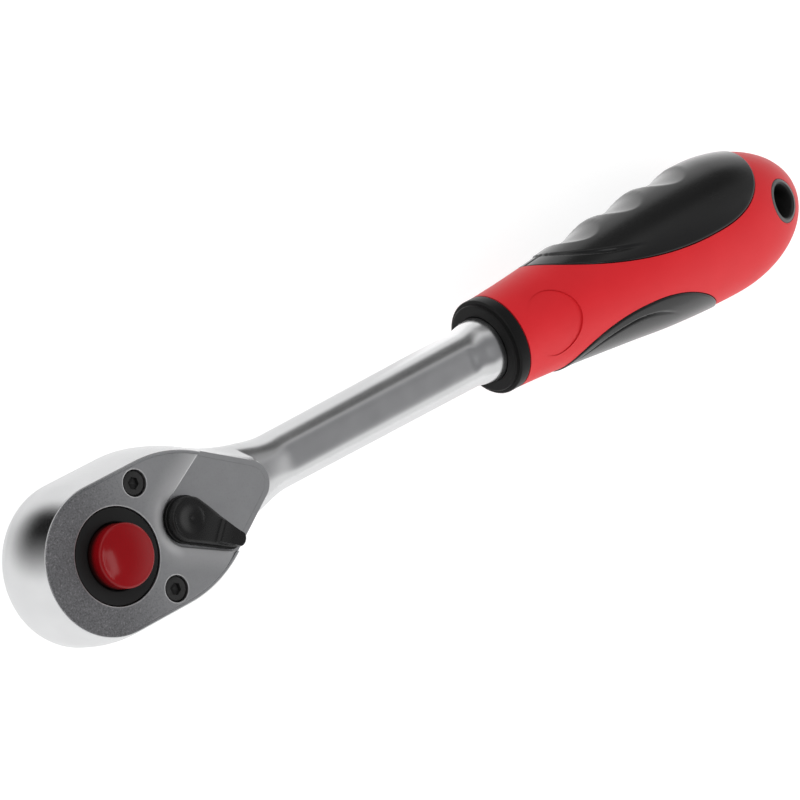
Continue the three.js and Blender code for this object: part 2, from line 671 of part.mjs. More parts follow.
// Black ring that closes the hub and keeps the button in by a lip
function buttonRing() {
  const lipRadius = BUTTON_RADIUS + RUN;
  const boreRadius = BUTTON_RADIUS + BUTTON_FLANGE + RUN;
  const flangeRadius = HUB_RADIUS;
  const edge = SEAT;
  return turned([
    [lipRadius, LIP_BOTTOM], [boreRadius, LIP_BOTTOM], [boreRadius, SPIGOT_END],
    [RING_SPIGOT_RADIUS, SPIGOT_END],
    [RING_SPIGOT_RADIUS, RING_SEAT], [flangeRadius, RING_SEAT], [flangeRadius, RING_TOP - edge],
    [flangeRadius - edge, RING_TOP], [lipRadius + edge, RING_TOP], [lipRadius, RING_TOP - edge],
    [lipRadius, LIP_BOTTOM],
  ]);
}

function releaseButton() {
  const profile = [
    [0, FLANGE_BOTTOM],
    [BUTTON_RADIUS + BUTTON_FLANGE, FLANGE_BOTTOM],
    [BUTTON_RADIUS + BUTTON_FLANGE, FLANGE_TOP],
    [BUTTON_RADIUS, FLANGE_TOP],
  ];
  for (let k = 0; k <= 4; k++) {
    const angle = k / 4 * Math.PI / 2;
    profile.push([
      BUTTON_RADIUS - BUTTON_EDGE * (1 - Math.cos(angle)),
      BUTTON_PROUD - BUTTON_EDGE * (1 - Math.sin(angle)),
    ]);
  }
  const flat = BUTTON_RADIUS - BUTTON_EDGE;
  for (const share of [0.67, 0.33, 0]) {
    profile.push([flat * share, BUTTON_PROUD + BUTTON_CROWN * (1 - share * share)]);
  }
  const pinHole = disc(PIN_RADIUS + SEAT, FLANGE_BOTTOM - 1, RING_TOP - SEAT, 0, 0, SMALL_ROUND);
  return cut(turned(profile), pinHole);
}

// Pin that blocks the ball with its end and lets it sink into its neck when the button is pressed
function releasePin() {
  const slope = PIN_RADIUS - PIN_NECK_RADIUS;
  const neckStart = PIN_SHOULDER + slope;
  const neckEnd = neckStart + PIN_NECK_LENGTH;
  return turned([
    [0, PIN_END],
    [PIN_RADIUS, PIN_END],
    [PIN_RADIUS, PIN_SHOULDER],
    [PIN_NECK_RADIUS, neckStart],
    [PIN_NECK_RADIUS, neckEnd],
    [PIN_RADIUS, neckEnd + slope],
    [PIN_RADIUS, RING_TOP - 2 * SEAT],
    [0, RING_TOP - 2 * SEAT],
  ], SMALL_ROUND);
}

function lockBall() {
  const ball = new THREE.SphereGeometry(BALL_RADIUS, 14, 9);
  ball.rotateZ(Math.PI / 2);
  ball.translate(BALL_RADIUS - BALL_PROUD - SQUARE / 2, 0, BALL_Z);
  return solid(ball);
}

// How far the ends of the pawl move when it rocks
const PAWL_FRONT_RADIUS = TOOTH_TIP_RADIUS + SEAT;
const PAWL_END_ARM = Math.hypot(
  PAWL_OUTER_RADIUS * Math.cos(PAWL_HALF_ANGLE) - PAWL_PIN_X,
  PAWL_OUTER_RADIUS * Math.sin(PAWL_HALF_ANGLE),
);
const PAWL_SWEEP = PAWL_END_ARM * Math.sin(PAWL_ROCK);

// Pawl outline about the gear axis: an arc along the teeth, two horns and a hollow about the lever's stem
function pawlOutline(grow, hollow) {
  const outer = PAWL_OUTER_RADIUS + grow;
  const front = hollow ? PAWL_FRONT_RADIUS : TOOTH_TIP_RADIUS - TOOTH_HEIGHT;
  const halfAngle = PAWL_HALF_ANGLE + grow / PAWL_OUTER_RADIUS;
  const hollowRadius = HOLLOW_RADIUS + grow;
  const shape = new THREE.Shape();
  shape.absarc(0, 0, front, halfAngle, -halfAngle, true);
  shape.lineTo(outer * Math.cos(halfAngle), -outer * Math.sin(halfAngle));
  const back = [Math.PI + PAWL_HOLLOW_ANGLE, Math.PI - PAWL_HOLLOW_ANGLE];
  if (hollow) {
    shape.absarc(LEVER_X, 0, hollowRadius, back[0], back[1], true);
  } else {
    shape.lineTo(LEVER_X, -hollowRadius * Math.sin(PAWL_HOLLOW_ANGLE));
    shape.lineTo(LEVER_X, hollowRadius * Math.sin(PAWL_HOLLOW_ANGLE));
  }
  shape.lineTo(outer * Math.cos(halfAngle), outer * Math.sin(halfAngle));
  shape.closePath();
  return shape;
}

// Pawl about its own pin, with teeth cut to mesh when it is rocked either way
function pawl() {
  const blank = prism(pawlOutline(0, true), PAWL_BOTTOM, PAWL_TOP).translate([-PAWL_PIN_X, 0, 0]);
  const gear = prism(gearShape(TOOTH_PLAY), PAWL_BOTTOM - 1, PAWL_TOP + 1).translate([-PAWL_PIN_X, 0, 0]);
  const rock = THREE.MathUtils.radToDeg(PAWL_ROCK);
  const pinHole = disc(PAWL_PIN_RADIUS + SEAT, PAWL_BOTTOM - 1, PAWL_TOP + 1, 0, 0, SMALL_ROUND);
  return cut(blank, gear.rotate([0, 0, -rock]), gear.rotate([0, 0, rock]), pinHole);
}

function pawlPin() {
  return disc(PAWL_PIN_RADIUS, CAVITY_FLOOR - PAWL_PIN_SEAT + SEAT, PLATE_BOTTOM - SEAT,
    PAWL_PIN_X, 0, SMALL_ROUND);
}

// Drop-shaped outline of the lever, with its tip along +X
function dropShape(hubRadius, reachX, tipRadius) {
  const tipX = reachX - tipRadius;
  const lean = Math.acos((hubRadius - tipRadius) / tipX);
  const shape = new THREE.Shape();
  shape.absarc(0, 0, hubRadius, lean, 2 * Math.PI - lean);
  shape.absarc(tipX, 0, tipRadius, -lean, lean);
  shape.closePath();
  return shape;
}

const LEVER_BOTTOM = RECESS_FLOOR + RUN;
const PLUNGER_TIP = STEM_RADIUS + PLUNGER_PROUD;
const PLUNGER_BACK = PLUNGER_TIP - PLUNGER_LENGTH;
const DETENT_BORE_END = PLUNGER_BACK - DETENT_SPRING_LENGTH - 2 * SEAT;
const STEM_END = CAVITY_FLOOR - STEM_SEAT + SEAT;

function reverseLever() {
  const hubTop = LEVER_BOTTOM + LEVER_HUB_HEIGHT;
  const tipTop = LEVER_BOTTOM + LEVER_TIP_HEIGHT;
  const drop = prism(dropShape(LEVER_HUB_RADIUS, LEVER_REACH, LEVER_TIP_RADIUS), LEVER_BOTTOM, hubTop);
  const slope = Math.atan2(hubTop - tipTop, LEVER_REACH - LEVER_HUB_RADIUS);
  const wedge = new THREE.BoxGeometry(2 * LEVER_REACH, 4 * LEVER_HUB_RADIUS, LEVER_HUB_HEIGHT);
  wedge.translate(LEVER_REACH, 0, LEVER_HUB_HEIGHT / 2);
  wedge.rotateY(slope);
  wedge.translate(LEVER_DIMPLE_RADIUS, 0, hubTop);
  const finShape = dropShape(LEVER_FIN_WIDTH / 2, LEVER_REACH - LEVER_FIN_START - RUN, LEVER_FIN_WIDTH / 3);
  const fin = prism(finShape, LEVER_BOTTOM + SEAT, tipTop + LEVER_FIN_HEIGHT, ARC_STEPS / 2)
    .translate([LEVER_FIN_START, 0, 0]);
  const dimple = turned([
    [0, hubTop - LEVER_DIMPLE_DEPTH],
    [LEVER_DIMPLE_RADIUS / 2, hubTop - LEVER_DIMPLE_DEPTH],
    [LEVER_DIMPLE_RADIUS, hubTop],
    [LEVER_DIMPLE_RADIUS, hubTop + 1],
    [0, hubTop + 1],
  ]);
  const neck = disc(LEVER_NECK_RADIUS, PLATE_BOTTOM + SEAT, LEVER_BOTTOM + SEAT, 0, 0, SMALL_ROUND);
  const stem = disc(STEM_RADIUS, STEM_END, PLATE_BOTTOM + 2 * SEAT, 0, 0, SMALL_ROUND);
  const groove = cut(
    disc(STEM_RADIUS + 1, CLIP_BOTTOM - SEAT, CLIP_TOP + SEAT, 0, 0, SMALL_ROUND),
    disc(STEM_RADIUS - CLIP_GROOVE, CLIP_BOTTOM - 1, CLIP_TOP + 1, 0, 0, SMALL_ROUND),
  );
  const bore = disc(PLUNGER_RADIUS + SEAT, DETENT_BORE_END, STEM_RADIUS + 1, 0, 0, SMALL_ROUND)
    .rotate([0, -90, 0]).translate([0, 0, PAWL_MIDDLE]);
  return cut(join(cut(drop, solid(wedge)), fin, neck, stem), dimple, groove, bore);
}

// Open clip that keeps the stem under the plate, with its mouth away from the pawl
function leverClip() {
  const ring = disc(CLIP_RADIUS, CLIP_BOTTOM, CLIP_TOP, 0, 0, SMALL_ROUND);
  const eye = disc(STEM_RADIUS - CLIP_GROOVE + SEAT, CLIP_BOTTOM - 1, CLIP_TOP + 1, 0, 0, SMALL_ROUND);
  const mouth = new THREE.BoxGeometry(2 * CLIP_RADIUS, CLIP_MOUTH, CLIP_RADIUS);
  mouth.translate(CLIP_RADIUS, 0, CLIP_TOP);
  return cut(ring, eye, solid(mouth));
}

function leverSeal() {
  return wireRing(LEVER_NECK_RADIUS + SEAT + LEVER_SEAL_WIRE / 2, LEVER_SEAL_WIRE,
    RECESS_FLOOR - LEVER_SEAL_WIRE / 2, SMALL_ROUND);
}

// Plunger along its own axis, with a rounded tip
function detentPlunger() {
  const round = PLUNGER_RADIUS / 2;
  return turned([
    [0, PLUNGER_BACK], [PLUNGER_RADIUS, PLUNGER_BACK], [PLUNGER_RADIUS, PLUNGER_TIP - round],
    [PLUNGER_RADIUS - round / 3, PLUNGER_TIP - round / 3], [PLUNGER_RADIUS - round, PLUNGER_TIP],
    [0, PLUNGER_TIP],
  ], SMALL_ROUND).rotate([0, -90, 0]).translate([0, 0, PAWL_MIDDLE]);
}

function detentSpring() {
  const radius = PLUNGER_RADIUS - DETENT_SPRING_WIRE / 2;
  return coil('detent_spring', radius, DETENT_SPRING_LENGTH, DETENT_SPRING_WIRE, DETENT_SPRING_TURNS)
    .translate([0, 0, DETENT_BORE_END + SEAT]).rotate([0, -90, 0]).translate([0, 0, PAWL_MIDDLE]);
}

function releaseSpring() {
  const wound = coil('release_spring', SPRING_RADIUS, RELEASE_SPRING_LENGTH, RELEASE_SPRING_WIRE,
    RELEASE_SPRING_TURNS);
  return wound.translate([0, 0, SPRING_FLOOR + SEAT]);
}

function driveSeal() {
  return wireRing(SEAL_RING_RADIUS, SEAL_WIRE, SEAL_Z);
}

// Handle half width: it swells from the collar to its thickest place and closes in a rounded end
function handleRadius(x) {
  if (x > HANDLE_MAX_X) {
    const along = Math.min((x - HANDLE_MAX_X) / HANDLE_END_LENGTH, 1);
    return HANDLE_MAX_RADIUS * Math.sqrt(1 - along * along);
  }
  const length = HANDLE_MAX_X - HANDLE_X;
  const s = (x - HANDLE_X) / length;
  const swell = s * s * (3 - 2 * s);
  const slope = s * (1 - s) * (1 - s) * length;
  return THREE.MathUtils.lerp(HANDLE_FRONT_RADIUS, HANDLE_MAX_RADIUS, swell) + HANDLE_FRONT_SLOPE * slope;
}

// Point on the handle: angle 0 is the +Y side, a quarter turn is up; lift is measured along the radius
function handlePoint(x, angle, lift) {
  const radius = handleRadius(x) + lift;
  const flatten = 1 - (1 - HANDLE_FLATTEN) * Math.min((x - HANDLE_X) / (HANDLE_MAX_X - HANDLE_X), 1);
  return new THREE.Vector3(x, radius * Math.cos(angle), radius * flatten * Math.sin(angle));
}

function handleRing(x, lift) {
  return Array.from({ length: ROUND }, (_, k) => handlePoint(x, 2 * Math.PI * k / ROUND, lift));
}

function handleBlank() {
  const rings = [];
  const stations = 9;
  const endStations = 7;
  for (let k = 0; k < stations; k++) {
    rings.push(handleRing(THREE.MathUtils.lerp(HANDLE_X + SEAT, HANDLE_MAX_X, k / stations), 0));
  }
  for (let k = 0; k < endStations; k++) {
    rings.push(handleRing(HANDLE_MAX_X + HANDLE_END_LENGTH * Math.sin(k / endStations * Math.PI / 2), 0));
  }
  rings.push(handleRing(HANDLE_END_X - SEAT / 2, 0));
  return loft(rings);
}

// How far round from the pad's side the pad reaches at a station
function padHalfAngle(pad, x) {
  const ahead = x < pad.middle;
  const along = Math.min(Math.abs(x - pad.middle) / (ahead ? pad.front : pad.back), 1);
  const power = ahead ? pad.frontPower : pad.backPower;
  return pad.halfAngle * (1 - along ** power) ** (1 / power);
}

// Depth of the finger hollows at a place on the pad
function fingerHollow(pad, x, fromSide) {
  return pad.fingers.reduce((sum, finger) => {
    const along = (x - FINGER_MIDDLE_X - finger * FINGER_PITCH) / (FINGER_LENGTH / 2);
    const around = fromSide / (pad.halfAngle / 2);
    return sum + FINGER_DEPTH * Math.max(1 - along * along, 0) * Math.max(1 - around * around, 0);
  }, 0);
}

// Shell patch on the handle inside the pad's outline, from below the skin to a lift above it
function padPatch(pad, grow, below, above, hollows, steps = 16, around = 10) {
  const rings = [];
  const start = pad.middle - pad.front - grow;
  const end = pad.middle + pad.back + grow;
  const stretch = (x) => pad.middle + (x - pad.middle) * (x < pad.middle
    ? pad.front / (pad.front + grow) : pad.back / (pad.back + grow));
  for (let k = 0; k <= steps; k++) {
    const turn = THREE.MathUtils.lerp(PAD_TIP_SHARE, 1 - PAD_TIP_SHARE, k / steps) * Math.PI;
    const x = THREE.MathUtils.lerp(start, end, (1 - Math.cos(turn)) / 2);
    const half = padHalfAngle(pad, stretch(x)) + grow / handleRadius(x);
    const outer = [];
    const inner = [];
    for (let j = 0; j <= around; j++) {
      const fromSide = half * (2 * j / around - 1);
      const angle = pad.side > 0 ? fromSide : Math.PI + fromSide;
      const hollow = hollows ? fingerHollow(pad, x, fromSide) : 0;
      outer.push(handlePoint(x, angle, above - hollow));
      inner.push(handlePoint(x, angle, -below));
    }
    rings.push([...outer, ...inner.reverse()]);
  }
  return loft(rings);
}

function gripPad(pad) {
  return padPatch(pad, 0, PAD_DEPTH, PAD_PROUD, true);
}

function padPocket(pad) {
  return padPatch(pad, PLAY, PAD_DEPTH + PLAY, 3 * PAD_PROUD, false);
}

// Eyelet through the thick end, trimmed to the handle's skin
function hangEyelet(blank) {
  const tall = 2 * HANDLE_MAX_RADIUS;
  const tube = cut(disc(EYELET_RADIUS, -tall, tall, HANG_X, 0, SMALL_ROUND),
    disc(HANG_RADIUS, -tall, tall, HANG_X, 0, SMALL_ROUND));
  return tube.intersect(blank);
}

// Plain ring groove on the handle's upper side, behind the collar
function markGroove() {
  const tall = 2 * HANDLE_MAX_RADIUS;
  const ring = disc(MARK_RADIUS, 0, tall, MARK_X);
  const middle = disc(MARK_RADIUS - MARK_WIDTH, -MARK_WIDTH, tall + MARK_WIDTH, MARK_X);
  const stations = [HANDLE_X + SEAT, MARK_X, MARK_X + 2 * MARK_RADIUS];
  const core = loft(stations.map((x) => handleRing(x, -MARK_DEPTH)));
  return cut(ring, middle, core);
}

function handleBody(blank) {
  const bore = new THREE.CylinderGeometry(TANG_RADIUS + TANG_PLAY, TANG_RADIUS + TANG_PLAY,
    2 * (TANG_LENGTH + TANG_PLAY), SMALL_ROUND);
  bore.rotateZ(Math.PI / 2);
  bore.translate(HANDLE_X, 0, 0);
  const tall = 2 * HANDLE_MAX_RADIUS;
  const hangBore = disc(EYELET_RADIUS + SEAT, -tall, tall, HANG_X, 0, SMALL_ROUND);
  return cut(blank, solid(bore), hangBore, padPocket(FINGER_PAD), padPocket(PALM_PAD), markGroove());
}

// Collar with a stepped front, turned about the shank's axis
function frontCollar() {
  const end = HANDLE_X - SEAT;
  const step = COLLAR_X + COLLAR_STEP;
  const outer = HANDLE_FRONT_RADIUS;
  const inner = COLLAR_BORE_RADIUS;
  const ledge = outer - COLLAR_STEP;
  return turned([
    [inner, COLLAR_X], [ledge, COLLAR_X], [ledge, step - SEAT], [outer - SEAT, step - SEAT], [outer, step],
    [outer, end], [inner, end], [inner, COLLAR_X],
  ]).rotate([0, 90, 0]);
}

piece(head, 'head_and_shank', headAndShank(), STEEL);
piece(head, 'cover_plate', coverPlate(), BLASTED_STEEL);
for (const [name, y] of [['cover_screw_left', SCREW_Y], ['cover_screw_right', -SCREW_Y]]) {
  piece(head, name, coverScrew().translate([SCREW_X, y, -SCREW_HEAD_SINK]), BLACK_STEEL);
}
piece(head, 'drive_gear', driveGear(), BRIGHT_STEEL);
piece(head, 'thrust_washer', thrustWasher(), BRIGHT_STEEL);
piece(head, 'drive_seal', driveSeal(), SEAL_RUBBER);
piece(head, 'button_ring', buttonRing(), BLACK_PLASTIC);
piece(head, 'release_button', releaseButton(), RED_BUTTON);
piece(head, 'release_pin', releasePin(), BRIGHT_STEEL);
piece(head, 'release_spring', releaseSpring(), BRIGHT_STEEL);
piece(head, 'lock_ball', lockBall(), BRIGHT_STEEL);
piece(rocker, 'pawl', pawl(), BLACK_STEEL);
piece(head, 'pawl_pin', pawlPin(), BRIGHT_STEEL);
piece(lever, 'reverse_lever', reverseLever(), BLACK_PLASTIC);
piece(lever, 'lever_clip', leverClip(), BRIGHT_STEEL);
piece(lever, 'lever_seal', leverSeal(), SEAL_RUBBER);
piece(lever, 'detent_plunger', detentPlunger(), BRIGHT_STEEL);
piece(lever, 'detent_spring', detentSpring(), BRIGHT_STEEL);

const blank = handleBlank();
piece(handle, 'handle_body', handleBody(blank), RED_PLASTIC);
piece(handle, 'front_collar', frontCollar(), BLACK_PLASTIC);
piece(handle, 'grip_pad_left', gripPad(FINGER_PAD), SOFT_BLACK);
piece(handle, 'grip_pad_right', gripPad(PALM_PAD), SOFT_BLACK);
piece(handle, 'hang_eyelet', hangEyelet(blank), BLACK_PLASTIC);

export default ratchet;
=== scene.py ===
# %% [markdown]
# # A reversible ratchet
# The solids of the tool come in as a fixed frame, in metres. Each visible solid is then replaced by a finer
# piece that follows the same rule, and every piece gets a finish made of nodes. The finer pieces are made to
# stay inside the box of the solids.

# %% Frame
import math

import bmesh
import bpy
import numpy as np
from mathutils import Matrix, Vector
from mathutils.geometry import delaunay_2d_cdt


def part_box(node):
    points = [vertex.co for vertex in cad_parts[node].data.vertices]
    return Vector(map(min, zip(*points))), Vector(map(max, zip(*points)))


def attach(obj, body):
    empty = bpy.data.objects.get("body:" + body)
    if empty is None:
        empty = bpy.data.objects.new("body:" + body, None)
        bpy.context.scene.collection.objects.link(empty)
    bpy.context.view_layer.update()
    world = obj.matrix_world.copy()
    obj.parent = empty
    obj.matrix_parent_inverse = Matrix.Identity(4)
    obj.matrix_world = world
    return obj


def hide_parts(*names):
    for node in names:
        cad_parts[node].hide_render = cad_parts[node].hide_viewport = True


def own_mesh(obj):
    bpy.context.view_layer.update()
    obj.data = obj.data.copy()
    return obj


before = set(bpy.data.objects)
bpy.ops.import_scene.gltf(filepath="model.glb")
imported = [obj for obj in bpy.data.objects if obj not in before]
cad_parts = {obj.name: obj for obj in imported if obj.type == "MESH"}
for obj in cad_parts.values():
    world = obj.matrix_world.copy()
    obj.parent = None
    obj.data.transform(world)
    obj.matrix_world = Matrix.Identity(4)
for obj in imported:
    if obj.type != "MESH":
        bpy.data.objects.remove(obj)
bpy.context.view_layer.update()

MM = 0.001
FACE_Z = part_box("cover_plate")[1].z / MM
print("face of the head at", round(FACE_Z, 2), "mm;", len(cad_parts), "solids")

# %% [markdown]
# ## Writing finishes as formulas
# A finish is a node tree. Placing each Math node by hand is slow to read, so a small class wraps one output
# socket and turns ordinary arithmetic into Math nodes. Any other node comes from one method, add, which takes
# its type, its settings and its sockets.

# %% Signals and finishes
class Signal:
    """One output socket; arithmetic on it adds Math nodes."""

    def __init__(self, finish, socket):
        self.finish = finish
        self.socket = socket

    def math(self, operation, first, second):
        return self.finish.add("ShaderNodeMath", {"operation": operation}, {0: first, 1: second})

    def __add__(self, other):
        return self.math("ADD", self, other)

    __radd__ = __add__

    def __mul__(self, other):
        return self.math("MULTIPLY", self, other)

    __rmul__ = __mul__

    def __sub__(self, other):
        return self.math("SUBTRACT", self, other)

    def __rsub__(self, other):
        return self.math("SUBTRACT", other, self)


class Finish:
    """A material or a world whose nodes are added one by one."""

    def __init__(self, owner):
        self.owner = owner
        owner.use_nodes = True
        self.tree = owner.node_tree
        self.tree.nodes.clear()

    def add(self, kind, settings=None, inputs=None, output=0):
        node = self.tree.nodes.new(kind)
        for key, value in (settings or {}).items():
            setattr(node, key, value)
        for key, value in (inputs or {}).items():
            socket = node.inputs[key]
            if isinstance(value, Signal):
                self.tree.links.new(value.socket, socket)
            else:
                socket.default_value = value
        return Signal(self, node.outputs[output]) if node.outputs else node

    def place(self, stretch=(1, 1, 1)):
        """Object coordinates in metres, squeezed along the axes."""
        coords = self.add("ShaderNodeTexCoord", output="Object")
        return self.add("ShaderNodeMapping", None, {"Vector": coords, "Scale": stretch})

    def noise(self, grain, detail=2.0, roughness=0.5, stretch=(1, 1, 1)):
        """Noise whose patches are about one grain, in millimetres, across."""
        return self.add("ShaderNodeTexNoise", None, {
            "Vector": self.place(stretch), "Scale": 1 / (grain * MM), "Detail": detail, "Roughness": roughness})

    def ramp(self, value, low, high):
        """0 below low, 1 above high."""
        return self.add("ShaderNodeMapRange", {"interpolation_type": "SMOOTHSTEP"}, {
            "Value": value, "From Min": low, "From Max": high})

    def blend(self, factor, first, second):
        """A colour between two others."""
        return self.add("ShaderNodeMix", {"data_type": "RGBA"}, {0: factor, 6: first, 7: second}, 2)

    def mark(self, name):
        """A number that the mesh carries on its points."""
        return self.add("ShaderNodeAttribute", {"attribute_name": name}, output="Fac")

    def bump(self, height, depth, strength):
        """A bump of a depth in millimetres."""
        return self.add("ShaderNodeBump", None, {"Height": height, "Distance": depth * MM, "Strength": strength})

    def close(self, **sockets):
        """The Principled shader that ends the tree."""
        named = {key.replace("_", " "): value for key, value in sockets.items()}
        shader = self.add("ShaderNodeBsdfPrincipled", None, named)
        self.add("ShaderNodeOutputMaterial", None, {"Surface": shader})
        return self.owner


def new_finish(name):
    return Finish(bpy.data.materials.new(name))


def grey(value, tint=(1, 1, 1)):
    return (value * tint[0], value * tint[1], value * tint[2], 1)


trial = new_finish("trial")
faded = 1 - trial.noise(grain=1) * 0.5
print("1 - noise * 0.5 takes", len(faded.finish.tree.nodes), "nodes")
bpy.data.materials.remove(trial.owner)


# %% [markdown]
# ## Metal finishes
# The forging is satin chrome: a bright metal whose blasted ground scatters the light a little. It is one noise
# for the cloudiness of the plating and one, much finer, for the ground. The face of the head is blasted harder,
# so it is darker, rougher and speckled. A number on the points paints highlights and light into the colour of
# edges and patches, and on the blasted face it also smooths them a little.

# %% Steel
NOSE_SIDE_UNTIL, LEVER_SIDE_FROM = -8, 15


def satin_chrome():
    f = new_finish("satin_chrome")
    cloud = f.noise(grain=6, detail=3)
    ground = f.noise(grain=0.22)
    drawn = f.noise(grain=0.5, stretch=(0.06, 1, 1))
    colour = f.blend(cloud, grey(0.61, (1, 1.005, 1.015)), grey(0.69, (1, 1.005, 1.01)))
    rough = 0.15 + cloud * 0.06 + ground * 0.06 + drawn * 0.03
    return f.close(Base_Color=colour, Metallic=1.0, Roughness=rough,
                   Normal=f.bump(ground, depth=0.012, strength=0.35))


def blasted_steel():
    """Darker and more speckled round the nose, lighter towards the lever, with painted highlights and light from a
    point mark.
    """
    f = new_finish("blasted_steel")
    speck = f.noise(grain=0.42, detail=3, roughness=0.7)
    cloud = f.noise(grain=3.5, detail=3)
    along = f.add("ShaderNodeSeparateXYZ", None, {0: f.place((1 / MM, 1 / MM, 1 / MM))}, "X")
    # darker and more speckled towards the nose, lighter towards the lever
    nose_side = 1 - f.ramp(along, NOSE_SIDE_UNTIL, LEVER_SIDE_FROM)
    # painted highlights and light: this mark lightens the colour towards pale grey
    painted_light = f.mark("painted_light")
    ground = f.blend(nose_side, grey(0.41, (1, 1.01, 1.03)), grey(0.20, (1, 1, 1.04)))
    clouded = f.blend(cloud * 0.5, ground, grey(0.33, (1, 1, 1.03)))
    pits = f.ramp(speck, 0.50, 0.36) * (0.08 + nose_side * 0.42)
    pitted = f.blend(pits, clouded, grey(0.08))
    peaks = f.ramp(speck, 0.55, 0.70) * (0.05 + nose_side * 0.35)
    grained = f.blend(peaks, pitted, grey(0.6))
    colour = f.blend(painted_light, grained, grey(0.85))
    rough = 0.42 + speck * 0.12 - painted_light * 0.06
    return f.close(Base_Color=colour, Metallic=1.0, Roughness=rough,
                   Normal=f.bump(speck, depth=0.04, strength=0.26))


def black_steel():
    f = new_finish("black_steel")
    speck = f.noise(grain=0.3, detail=3)
    cloud = f.noise(grain=1.5)
    # painted highlight: this mark lightens the colour, on the eyelet's lip
    colour = f.blend(f.mark("painted_light"), f.blend(cloud, grey(0.022), grey(0.04)), grey(0.11))
    return f.close(Base_Color=colour, Metallic=0.6, Roughness=0.34 + speck * 0.16,
                   Normal=f.bump(speck, depth=0.01, strength=0.4))


def bright_steel():
    f = new_finish("bright_steel")
    lines = f.noise(grain=0.12, detail=3, stretch=(1, 1, 0.05))
    cloud = f.noise(grain=4)
    colour = f.blend(cloud, grey(0.62, (1, 1, 1.01)), grey(0.74, (1, 1, 1.01)))
    return f.close(Base_Color=colour, Metallic=1.0, Roughness=0.2 + lines * 0.14,
                   Normal=f.bump(lines, depth=0.008, strength=0.4))


finishes = {"satin_chrome": satin_chrome(), "blasted_steel": blasted_steel(), "black_steel": black_steel(),
            "bright_steel": bright_steel()}
print("metal finishes:", ", ".join(finishes))

# %% [markdown]
# ## Moulded finishes
# The plastics differ in gloss and in the texture that the mould leaves: a fine spark-eroded grain on the red
# shell and the black trim, a coarser soft grain on the pads, and a polished mould for the button.

# %% Plastics and rubber
RED_DARK, RED_LIGHT = (0.53, 0.014, 0.019, 1), (0.59, 0.018, 0.024, 1)
# The last colour is painted shade, for the button's side towards its foot.
BUTTON_DARK, BUTTON_LIGHT, BUTTON_FOOT_SHADE = (0.192, 0.002, 0.004, 1), (0.214, 0.003, 0.005, 1), (0.012, 0.002, 0.002, 1)


def moulded(name, dark, light, gloss, grain, depth, shine):
    f = new_finish(name)
    skin = f.noise(grain, roughness=0.6)
    cloud = f.noise(grain=9)
    scuff = f.ramp(f.noise(grain=1.3, detail=4, roughness=0.7, stretch=(0.25, 1, 1)), 0.62, 0.8)
    return f.close(Base_Color=f.blend(cloud, dark, light), Roughness=gloss + skin * 0.12 + scuff * 0.08,
                   Normal=f.bump(skin, depth, strength=0.5), Specular_IOR_Level=shine)


def button_red():
    """Polished red with painted shade on its side, darkest at its foot; the mark deep says where."""
    f = new_finish("red_button")
    skin = f.noise(grain=0.9, roughness=0.6)
    cloud = f.noise(grain=5)
    deep = f.mark("deep")
    # painted shade: the side darkens towards its foot beside the ring
    colour = f.blend(deep, f.blend(cloud, BUTTON_DARK, BUTTON_LIGHT), BUTTON_FOOT_SHADE)
    return f.close(Base_Color=colour, Roughness=0.1 + skin * 0.06 + deep * 0.3,
                   Normal=f.bump(skin, depth=0.004, strength=0.5), Specular_IOR_Level=0.25)


plastics = {
    "red_plastic": moulded("red_plastic", RED_DARK, RED_LIGHT, gloss=0.4, grain=0.3, depth=0.012, shine=0.2),
    "red_button": button_red(),
    "black_plastic": moulded("black_plastic", grey(0.005), grey(0.008), gloss=0.34, grain=0.3, depth=0.014, shine=0.1),
    "trim_black": moulded("trim_black", grey(0.009), grey(0.013), gloss=0.3, grain=0.3, depth=0.014, shine=0.18),
    "lever_black": moulded("lever_black", grey(0.005), grey(0.008), gloss=0.22, grain=0.3, depth=0.006, shine=0.3),
    "soft_black": moulded("soft_black", grey(0.004), grey(0.007), gloss=0.17, grain=0.36, depth=0.014, shine=0.47),
    "seal_rubber": moulded("seal_rubber", grey(0.010), grey(0.014), gloss=0.6, grain=0.4, depth=0.02, shine=0.2),
}
finishes.update(plastics)
print("moulded finishes:", ", ".join(plastics))

# %% [markdown]
# ## Skins, outlines and pieces
# Most pieces are a row of rings with a skin over them, or a flat area that a height rule lifts. Rounded corners
# are part of the outline, so that edges catch the light. Every mesh is merged, closed and turned outwards
# before it becomes a piece that rides on its body and stands for its solid.

# %% Skins over rings
def skin(rings, loop=False):
    """Points and faces over rings with equal point counts; open ends are closed by a fan."""
    rings = np.asarray(rings, float)
    rows, count = rings.shape[:2]
    points = rings.reshape(-1, 3).tolist()
    faces = []
    for i in range(rows if loop else rows - 1):
        near, far = i * count, (i + 1) % rows * count
        for k in range(count):
            n = (k + 1) % count
            faces.append((near + k, near + n, far + n, far + k))
    if not loop:
        for row in (0, rows - 1):
            centre = len(points)
            points.append(rings[row].mean(0).tolist())
            faces += [(row * count + k, row * count + (k + 1) % count, centre) for k in range(count)]
    return points, faces


def closed_mesh(name, *parts):
    """A mesh of closed shells, given as (points in millimetres, faces), merged, mended and facing outwards."""
    work = bmesh.new()
    for points, faces in parts:
        verts = [work.verts.new(Vector(p) * MM) for p in points]
        for face in faces:
            if len(set(face)) > 2:
                work.faces.new([verts[i] for i in dict.fromkeys(face)])
    bmesh.ops.remove_doubles(work, verts=work.verts, dist=2e-7)
    bmesh.ops.dissolve_degenerate(work, edges=work.edges, dist=1e-8)
    slits = [edge for edge in work.edges if edge.is_boundary]
    if slits:
        bmesh.ops.holes_fill(work, edges=slits, sides=0)
    bmesh.ops.recalc_face_normals(work, faces=work.faces)
    mesh = bpy.data.meshes.new(name)
    work.to_mesh(mesh)
    work.free()
    return mesh


